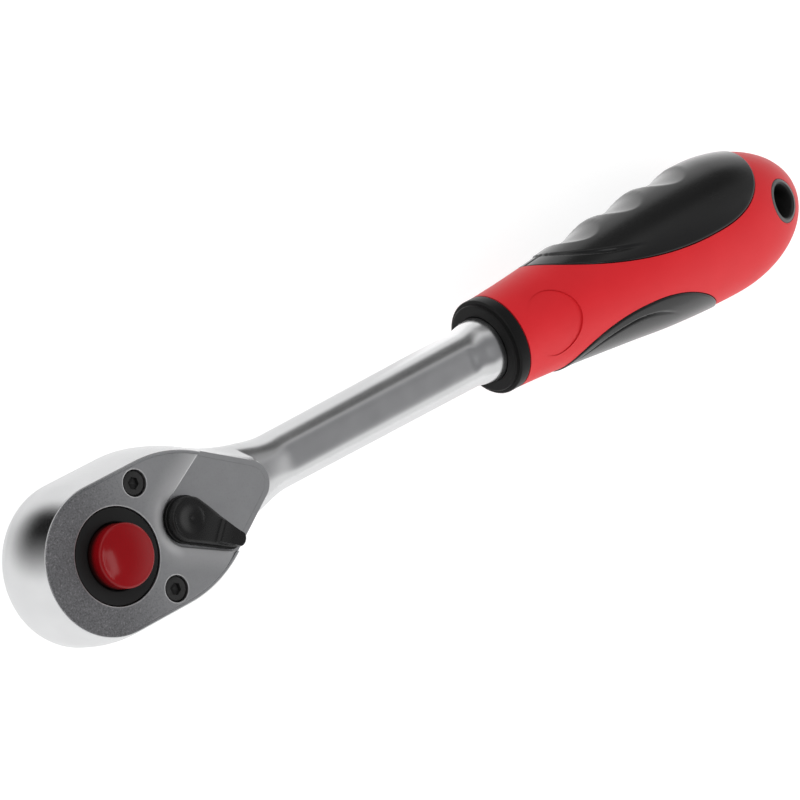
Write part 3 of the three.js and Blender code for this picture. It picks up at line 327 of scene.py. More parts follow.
square = np.array([(-1, -1, 0), (1, -1, 0), (1, 1, 0), (-1, 1, 0)], float)
trial = closed_mesh("trial", skin([square, square + (0, 0, 2)]))
print("a skin over two squares:", len(trial.polygons), "faces")
bpy.data.meshes.remove(trial)


# %% Rounded and turned outlines
def rounded(corners, steps=5, closed=True):
    """Outline through (x, y, radius) corners, each rounded by its radius."""
    outline = []
    for i, (x, y, radius) in enumerate(corners):
        corner = np.array((x, y), float)
        if radius == 0 or (not closed and i in (0, len(corners) - 1)):
            outline.append(corner)
            continue
        back = np.array(corners[i - 1][:2]) - corner
        ahead = np.array(corners[(i + 1) % len(corners)][:2]) - corner
        back, ahead = back / np.linalg.norm(back), ahead / np.linalg.norm(ahead)
        half = math.acos(np.clip(back @ ahead, -1, 1)) / 2
        middle = (back + ahead) / np.linalg.norm(back + ahead)
        centre = corner + middle * radius / math.sin(half)
        start = corner + back * radius / math.tan(half) - centre
        end = corner + ahead * radius / math.tan(half) - centre
        for k in range(steps + 1):
            arm = start * (1 - k / steps) + end * k / steps
            outline.append(centre + arm / np.linalg.norm(arm) * radius)
    return np.array(outline)


def turned(outline, steps=96, loop=False, axis="z"):
    """Rings of an outline of (radius, height) points turned about an axis."""
    turn = np.arange(steps) * 2 * math.pi / steps
    radius, height = np.asarray(outline, float).T
    a, b = np.outer(radius, np.cos(turn)), np.outer(radius, np.sin(turn))
    h = np.repeat(height[:, None], steps, 1)
    order = {"z": (a, b, h), "x": (h, a, b)}[axis]
    return skin(np.stack(order, -1), loop)


def moved(part, shift=(0, 0, 0), turn=0.0):
    """Points and faces turned about Z and then shifted."""
    points = np.asarray(part[0], float) @ np.array(Matrix.Rotation(turn, 3, "Z")).T + np.array(shift, float)
    return points.tolist(), part[1]


print("a rounded square:", len(rounded([(0, 0, 1), (4, 0, 1), (4, 4, 1), (0, 4, 1)])), "points")


# %% Carving and showing
def carve(mesh, *tools):
    """The mesh less the closed meshes given as tools."""
    work = bpy.data.objects.new("work", mesh)
    bpy.context.scene.collection.objects.link(work)
    for tool in tools:
        bit = bpy.data.objects.new("bit", tool)
        bpy.context.scene.collection.objects.link(bit)
        cut = work.modifiers.new("cut", "BOOLEAN")
        cut.operation, cut.solver, cut.object = "DIFFERENCE", "MANIFOLD", bit
        graph = bpy.context.evaluated_depsgraph_get()
        carved = bpy.data.meshes.new_from_object(work.evaluated_get(graph))
        work.modifiers.clear()
        work.data = carved
        bpy.data.objects.remove(bit)
    result = work.data
    bpy.data.objects.remove(work)
    return result


def shell_of(mesh):
    """A mesh as points in millimetres and faces again."""
    return [tuple(v.co / MM) for v in mesh.vertices], [tuple(f.vertices) for f in mesh.polygons]


def smooth(mesh, crease):
    """Smooth shading that breaks at edges sharper than the crease angle, in degrees."""
    mesh.shade_smooth()
    work = bmesh.new()
    work.from_mesh(mesh)
    limit = math.radians(crease)
    for edge in work.edges:
        edge.smooth = len(edge.link_faces) == 2 and edge.calc_face_angle(0) < limit
    work.to_mesh(mesh)
    work.free()


def show(name, mesh, finish, body, nodes, crease=32):
    """Makes a mesh a piece of the tool."""
    if not mesh.materials:
        mesh.materials.append(finishes[finish])
    smooth(mesh, crease)
    piece = bpy.data.objects.new(name, mesh)
    bpy.context.scene.collection.objects.link(piece)
    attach(piece, body)
    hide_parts(*nodes)
    mesh.calc_loop_triangles()
    print(name, len(mesh.loop_triangles), "triangles")
    return piece


tube = carve(closed_mesh("rod", turned([(2, 0), (2, 4)])), closed_mesh("bore", turned([(1, -1), (1, 5)])))
print("a rod with a bore:", len(tube.polygons), "faces")
bpy.data.meshes.remove(tube)


# %% [markdown]
# ## The forged head and shank
# The head is a pear with walls that swell below the face, and it flows into a round shank with two flats. One
# rule gives the whole skin: a distance to the pear, a distance to the shank and a soft minimum of the two.
# Sculpting could do it too, but the rule keeps the skin true to the solid. Sections fan round the nose and then
# step along the shank; on each, points are found by halving an interval until the rule changes sign.

# %% Rule of the forging
THICK, WIDE = 18.5, 17
NOSE_X, SHOULDER_X, SHOULDER_R, TIP_R = -1.7, 13, 31, 4.4
FLANK = math.pi / 2 - math.radians(32)
SHOULDER_Y = WIDE - SHOULDER_R
TIP_X = SHOULDER_X + (SHOULDER_R - TIP_R + SHOULDER_Y * math.sin(FLANK)) / math.cos(FLANK)
SHANK_DEPTH, COLLAR_X, HANDLE_X = 11, 121.8, 125.8
SWELL, SWELL_DEPTH = 1.65, 12
TUCK, TUCK_DEPTH = 5, 4.5
SHANK_R, TAPER = 6.3, 0.9
FLARE, FLARE_RUN = 0.9, (114.5, 121.5)
FLAT, FLAT_START, FLAT_STOP, FLAT_SOFT = 0.6, (48, 56), (112, 116), 0.5
NECK, NECK_FADE = 9, (2.5, 9)
EDGE_ROUND = 0.25


def arc_distance(x, y, cx, cy, radius, start, stop):
    facing = np.clip(np.arctan2(y - cy, x - cx), start, stop)
    return np.cos(facing) * (x - cx) + np.sin(facing) * (y - cy) - radius


def pear_distance(x, y):
    side = np.abs(y)
    return np.maximum.reduce([
        arc_distance(x, side, NOSE_X, 0, WIDE, math.pi / 2, math.pi),
        arc_distance(x, side, SHOULDER_X, SHOULDER_Y, SHOULDER_R, FLANK, math.pi / 2),
        arc_distance(x, side, TIP_X, 0, TIP_R, 0, FLANK)])


def smoothstep(value, low, high):
    t = np.clip((value - low) / (high - low), 0, 1)
    return t * t * (3 - 2 * t)


def wall_offset(depth):
    """How far the wall stands out from the face's outline: it swells, then tucks in at the bottom."""
    rise = np.minimum(depth / SWELL_DEPTH, 1)
    fall = np.clip((depth - THICK + TUCK_DEPTH) / TUCK_DEPTH, 0, 1)
    near = np.clip(1 - depth / EDGE_ROUND, 0, 1)
    edge = EDGE_ROUND * (1 - np.sqrt(1 - near ** 2))
    return SWELL * (1 - (1 - rise) ** 2) - TUCK * (1 - np.sqrt(1 - fall ** 2)) - edge


def forging(x, y, z):
    """Below zero inside the forging; z is measured from the face."""
    depth = -z
    across = depth - SHANK_DEPTH
    head = pear_distance(x, y) - wall_offset(np.clip(depth, 0, THICK))
    radius = SHANK_R + TAPER * np.clip(x / COLLAR_X, 0, 1) + FLARE * smoothstep(x, *FLARE_RUN)
    flat = FLAT * smoothstep(x, *FLAT_START) * (1 - smoothstep(x, *FLAT_STOP))
    tube, slab = np.hypot(y, across) - radius, np.abs(across) - radius + flat
    shank = np.maximum(tube, slab) + np.maximum(FLAT_SOFT - np.abs(tube - slab), 0) ** 2 / (4 * FLAT_SOFT)
    shank = np.maximum(shank, -x)
    near = np.maximum(NECK - np.abs(head - shank), 0) / NECK
    fillet = near * near * NECK / 4 * smoothstep(depth, *NECK_FADE)
    both = np.minimum(head, shank) - fillet
    return np.maximum.reduce([both, -depth, depth - THICK])


def halve(inside, low, high):
    """Where a rule of one number stops being inside, between arrays of bounds."""
    for _ in range(36):
        middle = (low + high) / 2
        within = inside(middle)
        low, high = np.where(within, middle, low), np.where(within, high, middle)
    return low


print("the face is", 2 * WIDE, "mm wide and", round(WIDE - NOSE_X + TIP_X + TIP_R, 1), "mm long")

# %% Sections of the forging
REACH, HAIR = 60.0, 1e-6
RUNS = ((NOSE_X + 0.7, 42, 0.7), (42, 48.5, 0.11), (48.5, 62, 0.6), (62, 108, 2.0), (108, 118, 0.6),
        (118, HANDLE_X, 1.5))
fan = np.radians(np.linspace(180, 90, 46))
along = np.concatenate([*(np.arange(*run) for run in RUNS), [HANDLE_X]])
base_x = np.concatenate([np.full(len(fan), NOSE_X), along])
head_x = np.concatenate([np.cos(fan), np.zeros(len(along))])
head_y = np.concatenate([np.sin(fan), np.ones(len(along))])
WALL_POINTS = 64


def section_inside(reach, angle):
    """The rule along rays from the shank's axis, one row for each section."""
    out = reach * np.cos(angle)
    return forging(base_x[:, None] + out * head_x[:, None], out * head_y[:, None],
                   reach * np.sin(angle) - SHANK_DEPTH) < 0


def edge_at(depth):
    """Half width of each section at a depth just inside the face or the bottom."""
    ones = np.ones((len(base_x), 1))

    def inside(out):
        return forging(base_x[:, None] + out * head_x[:, None], out * head_y[:, None], -depth * ones) < 0

    width = halve(inside, 0 * ones, REACH * ones)
    return np.where(inside(HAIR * ones), width, 0)


top_edge, bottom_edge = edge_at(HAIR), edge_at(THICK - HAIR)
top_angle = np.where(top_edge > 0, np.arctan2(SHANK_DEPTH, top_edge), math.pi / 2)
low_angle = np.where(bottom_edge > 0, -np.arctan2(THICK - SHANK_DEPTH, bottom_edge), -math.pi / 2)
share = np.linspace(0, 1, 400) ** 1.5
angles = top_angle + (low_angle - top_angle) * share
reaches = halve(lambda r: section_inside(r, angles), np.zeros_like(angles), np.full_like(angles, REACH))
out_fine, up_fine = reaches * np.cos(angles), reaches * np.sin(angles) - SHANK_DEPTH
print(len(base_x), "sections; the widest is", round(2 * float(out_fine[len(fan):].max()), 2), "mm across")

# %% Skin of the forging
TANG_R, TANG_LENGTH = 5.6, 74
CROWD, CROWD_WITHIN = 9, 0.5
sections = []
for out, up in zip(out_fine, up_fine):
    step = np.hypot(np.diff(out), np.diff(up))
    travelled = np.concatenate([[0], np.cumsum(step)])
    weight = np.concatenate([[0], np.cumsum(step * (1 + CROWD * np.exp(-travelled[1:] / CROWD_WITHIN)))])
    place = np.interp(np.linspace(0, weight[-1], WALL_POINTS), weight, travelled)
    sections.append(np.stack([np.interp(place, travelled, out), np.interp(place, travelled, up)], -1))
sections = np.array(sections)
tang = np.linspace(math.pi / 2, -math.pi / 2, WALL_POINTS)
tang = np.stack([TANG_R * np.cos(tang), TANG_R * np.sin(tang) - SHANK_DEPTH], -1)
sections = np.concatenate([sections, [tang, tang]])
rows_x = np.concatenate([base_x, [HANDLE_X, HANDLE_X + TANG_LENGTH]])
rows_hx, rows_hy = np.append(head_x, [0, 0]), np.append(head_y, [1, 1])


def forged_skin():
    """The wall on both sides, with strips across the face, the bottom and the end of the tang."""
    out, up = sections[..., 0], sections[..., 1]
    x = rows_x[:, None] + out * rows_hx[:, None]
    y = out * rows_hy[:, None]
    left = np.stack([x, y, up + FACE_Z], -1)
    right = left * (1, -1, 1)
    rows, count = x.shape
    points = np.concatenate([left.reshape(-1, 3), right.reshape(-1, 3)]).tolist()
    other = rows * count
    faces = []
    for s in range(rows - 1):
        a, b = s * count, (s + 1) * count
        for k in range(count - 1):
            faces.append((a + k, b + k, b + k + 1, a + k + 1))
            faces.append((other + a + k, other + a + k + 1, other + b + k + 1, other + b + k))
        for k in (0, count - 1):
            if y[s, k] > HAIR or y[s + 1, k] > HAIR:
                faces.append((a + k, other + a + k, other + b + k, b + k))
    end = (rows - 1) * count
    faces += [(end + k, end + k + 1, other + end + k + 1, other + end + k) for k in range(count - 1)]
    return points, faces


forged = closed_mesh("forged_body", forged_skin())
print("forging:", len(forged.vertices), "points on", len(rows_x), "sections")

# %% [markdown]
# ## The lever's recess and the cover plate
# The lever swings in a fan-shaped recess that is cut through the plate's face and the head's rim. Towards the
# recess the face falls away in a shallow bevel, which makes it look lighter there, and painted light lightens it
# further. The plate is made of flat areas that are filled with triangles and lifted by a height rule, so that the
# bevel, the small chamfers round the holes and the painted light on them all come from distances.

# %% Outlines of the face
LEVER_X, RECESS_R = 20, 6.0
RECESS_ANGLE = math.radians(28)
RIM, SEAM, BOW = 0.7, 0.03, 0.08
RING_BORE, SCREW_BORE, STEM_BORE = 11.0, 3.05, 3.4
SCREW_X, SCREW_Y = 10.9, 12.65
PLATE_BOTTOM = -3.85
LINE_ALONG = np.array((math.cos(RECESS_ANGLE), math.sin(RECESS_ANGLE)))
LINE_OUT = np.array((-math.sin(RECESS_ANGLE), math.cos(RECESS_ANGLE)))


def pear_outline(offset, spacing=0.5):
    """Points round the pear, from the tip over +Y to the nose and back over -Y."""
    arcs = [(TIP_X, 0, TIP_R + offset, 0, FLANK), (SHOULDER_X, SHOULDER_Y, SHOULDER_R + offset, FLANK, math.pi / 2),
            (NOSE_X, 0, WIDE + offset, math.pi / 2, math.pi)]
    half = []
    for cx, cy, radius, start, stop in arcs:
        turn = np.linspace(start, stop, max(4, int(radius * (stop - start) / spacing)))
        arc = np.stack([cx + radius * np.cos(turn), cy + radius * np.sin(turn)], -1)
        if half:
            gap = np.linalg.norm(arc[0] - half[-1][-1])
            steps = max(2, int(gap / spacing))
            half.append(half[-1][-1] + (arc[0] - half[-1][-1]) * np.linspace(0, 1, steps)[1:-1, None])
        half.append(arc)
    half = np.concatenate(half)
    keep = np.concatenate([[True], np.linalg.norm(np.diff(half, axis=0), axis=1) > 1e-6])
    half = half[keep]
    return np.concatenate([half, half[-2:0:-1] * (1, -1)])


def recess_distance(x, y):
    """Distance outside the recess, below zero in it."""
    px, py = x - LEVER_X, np.abs(y)
    ahead = px * LINE_ALONG[0] + py * LINE_ALONG[1]
    return np.where(ahead > 0, px * LINE_OUT[0] + py * LINE_OUT[1], np.hypot(px, py)) - RECESS_R


def recess_line(offset, reach, spacing=0.4):
    """The recess's edge from far along +Y round the hub to far along -Y."""
    radius = RECESS_R + offset
    share = np.linspace(1, 0, int(reach / spacing))[:-1, None]
    run = reach * share * LINE_ALONG + (radius + BOW * share * (1 - share)) * LINE_OUT
    turn = np.linspace(math.pi / 2 + RECESS_ANGLE, math.pi, max(4, int(radius / spacing)))
    half = np.concatenate([run, np.stack([radius * np.cos(turn), radius * np.sin(turn)], -1)])
    both = np.concatenate([half, half[-2::-1] * (1, -1)])
    return both + (LEVER_X, 0)


RECESS_DEPTH, FLOOR_BREAK, FLOOR_FALL = 1.4, 26, 0.04


def recess_floor(x):
    """Height of the recess's floor, flat under the lever's hub and falling towards the tip."""
    return -RECESS_DEPTH - FLOOR_FALL * np.clip(x - FLOOR_BREAK, 0, None)


print("pocket of the plate:", len(pear_outline(-RIM)), "points; the recess opens by",
      round(2 * math.degrees(RECESS_ANGLE)), "degrees")


# %% Carving the head
def prism(outline, low, high):
    flat = np.asarray(outline, float)
    low = np.broadcast_to(low, len(flat))
    rings = [np.column_stack([flat, low + FACE_Z]), np.column_stack([flat, np.full(len(flat), high + FACE_Z)])]
    return skin(rings)


def drilled(radius, low, high, x=0.0, y=0.0, steps=96):
    part = turned([(radius, low), (radius, high)], steps)
    return moved(part, (x, y, FACE_Z))


CAVITY_FLOOR, CAVITY_R, PAWL_X = 4 - THICK, 12.6, 14.5
pawl_room = np.array([(8.96, -6.73), (12.98, -9.75), (LEVER_X, -3.76), (LEVER_X, 3.76), (12.98, 9.75), (8.96, 6.73)])
spread = RECESS_R / LINE_ALONG[0] + (np.array((FLOOR_BREAK, 60)) - LEVER_X) * math.tan(RECESS_ANGLE)
wedge = np.array([(FLOOR_BREAK, -spread[0]), (60, -spread[1]), (60, spread[1]), (FLOOR_BREAK, spread[0])])
head_mesh = carve(
    forged,
    closed_mesh("pocket", prism(pear_outline(-RIM), -4, 5)),
    closed_mesh("fan", prism(recess_line(0, 40), recess_floor(0), 5)),
    closed_mesh("wedge", prism(wedge, recess_floor(wedge[:, 0]), 4)),
    closed_mesh("cavity", drilled(CAVITY_R, CAVITY_FLOOR, -3)),
    closed_mesh("hub_bore", drilled(11.0, -30, CAVITY_FLOOR + 1)),
    closed_mesh("pawl_room", prism(pawl_room, CAVITY_FLOOR, -3)),
    closed_mesh("pin_hole", drilled(1.25, CAVITY_FLOOR - 2.3, -3.5, PAWL_X, steps=32)),
    closed_mesh("stem_bore", drilled(2.85, CAVITY_FLOOR - 1.3, -3, LEVER_X, steps=64)),
    closed_mesh("clip_room", drilled(4.3, -5.05, -3, LEVER_X, steps=64)),
    closed_mesh("screw_hole", drilled(1.65, -14.2, -3, SCREW_X, SCREW_Y, 32)),
    closed_mesh("screw_hole", drilled(1.65, -14.2, -3, SCREW_X, -SCREW_Y, 32)))
head_mesh.materials.clear()
for finish in ("satin_chrome", "blasted_steel"):
    head_mesh.materials.append(finishes[finish])
for face in head_mesh.polygons:
    on_face = face.center.z > (FACE_Z - 3) * MM and face.normal.z > 0.985 and face.center.x < 0.05
    face.material_index = 1 if on_face else 0
show("forged_body", head_mesh, "satin_chrome", "head", ["head_and_shank"], 35)


# %% Filling a flat area
def fill(loops, inner, inside, height):
    """Triangles between loops and through inner points, where inside holds, lifted by height."""
    coords, edges = [], []
    for loop in loops:
        start = len(coords)
        coords += [Vector(p) for p in loop]
        edges += [(start + i, start + (i + 1) % len(loop)) for i in range(len(loop))]
    coords += [Vector(p) for p in inner]
    verts, _, triangles, *_ = delaunay_2d_cdt(coords, edges, [], 0, 1e-5, False)
    flat = np.array([(v.x, v.y) for v in verts])
    triangles = np.array([t for t in triangles if len(t) == 3])
    middle = flat[triangles].mean(1)
    triangles = triangles[inside(middle[:, 0], middle[:, 1])]
    points = np.column_stack([flat, height(flat[:, 0], flat[:, 1])])
    return points.tolist(), [tuple(int(i) for i in t) for t in triangles]


def lattice(low, high, spacing):
    """Points of a triangular lattice in a box."""
    rows = np.arange(low[1], high[1], spacing * math.sqrt(3) / 2)
    row = np.arange(low[0], high[0], spacing)
    return np.concatenate([np.column_stack([row + (i % 2) * spacing / 2, np.full(len(row), y)])
                           for i, y in enumerate(rows)])


def circle(radius, x=0.0, y=0.0, steps=96):
    turn = np.arange(steps) * 2 * math.pi / steps
    return np.column_stack([x + radius * np.cos(turn), y + radius * np.sin(turn)])


def wall(points, *levels):
    """Faces between copies of a line of points at several heights."""
    rings = [np.column_stack([points, np.broadcast_to(level, len(points))]) for level in levels]
    count = len(points)
    faces = [(i * count + k, i * count + k + 1, (i + 1) * count + k + 1, (i + 1) * count + k)
             for i in range(len(rings) - 1) for k in range(count - 1)]
    return np.concatenate(rings).tolist(), faces


def looped(points):
    return np.concatenate([points, points[:1]])


print("a lattice of 1 mm in 10 by 10 mm:", len(lattice((0, 0), (10, 10), 1)), "points")

# %% Height of the plate's face
BEVEL_WIDTH, BEVEL_SLOPE = 5.6, 0.12
CREST_WIDTH, CREST_DROP = 0.3, 0.12
CHAMFER, CHAMFER_SLOPE = 0.13, 0.4
PLATE_OFFSET, PLATE_EDGE = -RIM - SEAM, 0.03


def hole_distance(x, y):
    screws = np.minimum(np.hypot(x - SCREW_X, y - SCREW_Y), np.hypot(x - SCREW_X, y + SCREW_Y)) - SCREW_BORE
    return np.minimum(screws, np.hypot(x, y) - RING_BORE)


def face_height(x, y):
    away = recess_distance(x, y)
    inward = np.clip(BEVEL_WIDTH - away, 0, None)
    bevel = BEVEL_SLOPE * inward ** 2 / (2 * BEVEL_WIDTH)
    crest = CREST_DROP * np.clip(1 - away / CREST_WIDTH, 0, 1) ** 2
    chamfer = CHAMFER_SLOPE * np.clip(CHAMFER - hole_distance(x, y), 0, CHAMFER)
    rim = np.clip(PLATE_EDGE + pear_distance(x, y) - PLATE_OFFSET, 0, PLATE_EDGE)
    return -bevel - crest - chamfer - rim


print("the bevel falls", round(BEVEL_SLOPE * BEVEL_WIDTH / 2, 3), "mm")

# %% Loops and inner points of the plate
RING_STEPS, HOLE_STEPS = 144, 48
SCREW_SEAT, SCREW_HOLE = -2.55, 1.65
low, high = 0.0, 40.0
for _ in range(50):
    middle = (low + high) / 2
    spot = RECESS_R * LINE_OUT + middle * LINE_ALONG + (LEVER_X, 0)
    low, high = (middle, high) if pear_distance(*spot) < PLATE_OFFSET else (low, middle)
crease = recess_line(0, low, 0.3)
outline = pear_outline(PLATE_OFFSET, 0.35)
on_recess = recess_distance(outline[:, 0], outline[:, 1]) < 1e-4
face_side = outline[~on_recess]
floor_side = outline[on_recess]
floor_side = floor_side[np.argsort(floor_side[:, 1])]
holes = [circle(RING_BORE, steps=RING_STEPS), circle(SCREW_BORE, SCREW_X, SCREW_Y, HOLE_STEPS),
         circle(SCREW_BORE, SCREW_X, -SCREW_Y, HOLE_STEPS)]
bearing = np.arctan2(face_side[:, 1], face_side[:, 0] - 5) % (2 * math.pi)
face_loop = np.concatenate([face_side[np.argsort(bearing)], crease[::-1]])
floor_loop = np.concatenate([crease, floor_side])
near_lines = np.concatenate(
    [circle(RING_BORE + d, steps=RING_STEPS) for d in (0.06, CHAMFER, 0.3)]
    + [circle(SCREW_BORE + d, SCREW_X, s * SCREW_Y, HOLE_STEPS) for d in (0.06, CHAMFER, 0.3) for s in (1, -1)]
    + [recess_line(d, 30, 0.3) for d in (0.06, 0.13, 0.22, 0.35, 0.6)]
    + [pear_outline(PLATE_OFFSET - d, 0.35) for d in (0.06, 0.25)])
field = lattice((-20, -18), (38, 18), 0.5)
clear = (hole_distance(field[:, 0], field[:, 1]) > 0.55) & (recess_distance(field[:, 0], field[:, 1]) > 0.8)
inner = np.concatenate([near_lines, field[clear]])
px, py = inner.T
inner = inner[(pear_distance(px, py) < PLATE_OFFSET - 0.03) & (hole_distance(px, py) > 0.05)
              & (recess_distance(px, py) > 0.03)]
print("face of the plate:", len(face_loop), "points round it and", len(inner), "inside")


# %% Areas and walls of the plate
SLACK = 1e-3


def on_face(x, y):
    return (pear_distance(x, y) < PLATE_OFFSET) & (recess_distance(x, y) > 0) & (hole_distance(x, y) > -SLACK)


def on_floor(x, y):
    return (pear_distance(x, y) < PLATE_OFFSET) & (recess_distance(x, y) < 0) \
        & (np.hypot(x - LEVER_X, y) > STEM_BORE - SLACK)


def on_bottom(x, y):
    screws = np.minimum(np.hypot(x - SCREW_X, y - SCREW_Y), np.hypot(x - SCREW_X, y + SCREW_Y))
    return (pear_distance(x, y) < PLATE_OFFSET) & (np.hypot(x, y) > RING_BORE - SLACK) \
        & (screws > SCREW_HOLE - 6 * SLACK) \
        & (np.hypot(x - LEVER_X, y) > STEM_BORE - SLACK)


stem_hole = circle(STEM_BORE, LEVER_X, 0, HOLE_STEPS)
break_line = [(FLOOR_BREAK, y) for y in np.linspace(-spread[0], spread[0], 50)[1:-1]]
screw_holes = [circle(SCREW_HOLE, SCREW_X, s * SCREW_Y, HOLE_STEPS) for s in (1, -1)]
whole_loop = np.concatenate([face_loop[:len(face_loop) - len(crease)], crease[-1:], floor_side, crease[:1]])
plate_parts = [
    fill([face_loop, *holes], inner, on_face, face_height),
    fill([floor_loop, stem_hole], break_line, on_floor, lambda x, y: recess_floor(x)),
    fill([whole_loop, holes[0], stem_hole, *screw_holes], [], on_bottom, lambda x, y: 0 * x + PLATE_BOTTOM),
]
edge_level = recess_floor(crease[0, 0])
side = np.concatenate([crease[:1], face_loop[:len(face_loop) - len(crease)], crease[-1:]])
plate_parts.append(wall(side, face_height(*side.T), edge_level, PLATE_BOTTOM))
front = np.concatenate([crease[-1:], floor_side, crease[:1]])
plate_parts.append(wall(front, recess_floor(front[:, 0]), PLATE_BOTTOM))
plate_parts.append(wall(crease, face_height(*crease.T), recess_floor(crease[:, 0])))
plate_parts.append(wall(looped(holes[0]), face_height(*looped(holes[0]).T), PLATE_BOTTOM))
plate_parts.append(wall(looped(stem_hole), recess_floor(looped(stem_hole)[:, 0]), PLATE_BOTTOM))
for big, small in zip(holes[1:], screw_holes):
    plate_parts.append(wall(looped(big), face_height(*looped(big).T), SCREW_SEAT))
    count = HOLE_STEPS + 1
    ring = np.stack([np.column_stack([looped(r), np.full(count, SCREW_SEAT)]) for r in (big, small)])
    seat = [(k, k + 1, count + k + 1, count + k) for k in range(HOLE_STEPS)]
    plate_parts.append((ring.reshape(-1, 3).tolist(), seat))
    plate_parts.append(wall(looped(small), SCREW_SEAT, PLATE_BOTTOM))
plate = closed_mesh("cover_plate", *[moved(part, (0, 0, FACE_Z)) for part in plate_parts])
uses = np.bincount([loop.edge_index for loop in plate.loops])
print("plate: open edges", int((uses != 2).sum()))


# %% Painted light on the plate
def write_mark(mesh, name, values):
    """Writes one number on each point of a mesh, for a finish to read."""
    mesh.attributes.new(name, "FLOAT", "POINT").data.foreach_set("value", np.asarray(values, np.float32))


spots = np.array([v.co for v in plate.vertices]) / MM
beside = recess_distance(spots[:, 0], spots[:, 1])
# Painted light: bright rings round the holes, a highlight along the recess's edge, light beside the lever's hub over
# its shadow, and a lighter bevel.
painted_brightness = 0.6 * np.clip(1.4 - hole_distance(spots[:, 0], spots[:, 1]) / 0.2, 0, 1)
painted_brightness = np.maximum(painted_brightness, np.clip(1 - np.abs(beside) / 0.4, 0, 1) ** 1.5)
by_hub = (1 - smoothstep(spots[:, 0], 13, 20)) * (1 - smoothstep(beside, 0.8, 4))
painted_brightness = np.maximum(painted_brightness, 0.8 * (beside > 0) * by_hub)
painted_brightness = np.maximum(painted_brightness, 0.5 * np.clip(1 - beside / BEVEL_WIDTH, 0, 1) ** 1.3 * (beside > 0))
write_mark(plate, "painted_light", np.where(spots[:, 2] > FACE_Z - 1.2, painted_brightness, 0))
show("face_plate", plate, "blasted_steel", "head", ["cover_plate"], 40)

# %% [markdown]
# ## Cover screws
# Two socket-head screws, black oxide steel, hold the plate. One screw is modelled as rings: a round head with a
# chamfer, and a six-sided socket that ends in a drill cone. Geometry Nodes place it twice, because the pair is
# one repeated thing whose spacing is a size of the plate.

# %% Geometry Nodes recipes
class Recipe:
    """A Geometry Nodes tree with named inputs."""

    def __init__(self, name, **inputs):
        self.tree = bpy.data.node_groups.new(name, "GeometryNodeTree")
        self.keys = {}
        self.tree.interface.new_socket("Geometry", in_out="INPUT", socket_type="NodeSocketGeometry")
        for label, kind in inputs.items():
            title = label.replace("_", " ").capitalize()
            self.keys[label] = self.tree.interface.new_socket(title, in_out="INPUT", socket_type=kind).identifier
        self.tree.interface.new_socket("Geometry", in_out="OUTPUT", socket_type="NodeSocketGeometry")
        self.source = self.tree.nodes.new("NodeGroupInput")

    def get(self, label):
        return next(s for s in self.source.outputs if s.identifier == self.keys[label])

    def add(self, kind, settings=None, inputs=None, output=0):
        node = self.tree.nodes.new(kind)
        for key, value in (settings or {}).items():
            setattr(node, key, value)
        for key, value in (inputs or {}).items():
            if isinstance(value, bpy.types.NodeSocket):
                self.tree.links.new(value, node.inputs[key])
            else:
                node.inputs[key].default_value = value
        return node.outputs[output]

    def end(self, geometry):
        real = self.add("GeometryNodeRealizeInstances", None, {0: geometry})
        coated = self.add("GeometryNodeSetMaterial", None, {"Geometry": real, "Material": self.get("finish")})
        self.tree.links.new(coated, self.tree.nodes.new("NodeGroupOutput").inputs[0])

    def grow(self, mesh, **values):
        """A plain mesh grown from a start mesh with these values."""
        work = bpy.data.objects.new("work", mesh)
        bpy.context.scene.collection.objects.link(work)
        growth = work.modifiers.new("growth", "NODES")
        growth.node_group = self.tree
        for label, value in values.items():
            growth[self.keys[label]] = value
        graph = bpy.context.evaluated_depsgraph_get()
        grown = bpy.data.meshes.new_from_object(work.evaluated_get(graph))
        work.modifiers.clear()
        bpy.data.objects.remove(work)
        return grown


FLOAT, MATERIAL = "NodeSocketFloat", "NodeSocketMaterial"


def pair_recipe():
    r = Recipe("screw_pair", along=FLOAT, apart=FLOAT, finish=MATERIAL)
    start = r.add("ShaderNodeCombineXYZ", None, {"X": r.get("along"), "Y": r.get("apart")})
    double = r.add("ShaderNodeMath", {"operation": "MULTIPLY"}, {0: r.get("apart"), 1: -2.0})
    step = r.add("ShaderNodeCombineXYZ", None, {"Y": double})
    line = r.add("GeometryNodeMeshLine", None, {"Count": 2, "Start Location": start, "Offset": step})
    screws = r.add("GeometryNodeInstanceOnPoints", None, {"Points": line, "Instance": r.source.outputs[0]})
    r.end(screws)
    return r


screw_pair = pair_recipe()
print("recipe for the pair:", len(screw_pair.tree.nodes), "nodes")

# %% Screws
SCREW_SINK, SCREW_SIDES = 0.4, 72


def hexagon(flats):
    turn = np.arange(SCREW_SIDES) * 2 * math.pi / SCREW_SIDES
    return flats / 2 / np.cos((turn + math.pi / 6) % (math.pi / 3) - math.pi / 6)


def screw_rings():
    """Shank, head and socket, from (radius, height) pairs and then from sizes across flats."""
    top = -SCREW_SINK
    rows = [(0.02, top - 13.5), (1.2, top - 13.5), (1.5, top - 13.2), (1.5, top - 2), (2.6, top - 2),
            (2.75, top - 1.85), (2.75, top - 0.45), (2.72, top - 0.25), (2.62, top - 0.09), (2.45, top),
            (1.75, top)]
    turn = np.arange(SCREW_SIDES) * 2 * math.pi / SCREW_SIDES
    rows += [(hexagon(2.7), top), (hexagon(2.5), top - 0.12), (hexagon(2.5), top - 1.2), (0.02, top - 1.6)]
    rings = [np.column_stack([r * np.cos(turn), r * np.sin(turn), np.full(SCREW_SIDES, z + FACE_Z)]) for r, z in rows]
    return skin(rings)


screws = screw_pair.grow(closed_mesh("screw", screw_rings()), along=SCREW_X * MM, apart=SCREW_Y * MM,
                         finish=finishes["black_steel"])
show("cover_screws", screws, "black_steel", "head", ["cover_screw_left", "cover_screw_right"], 28)

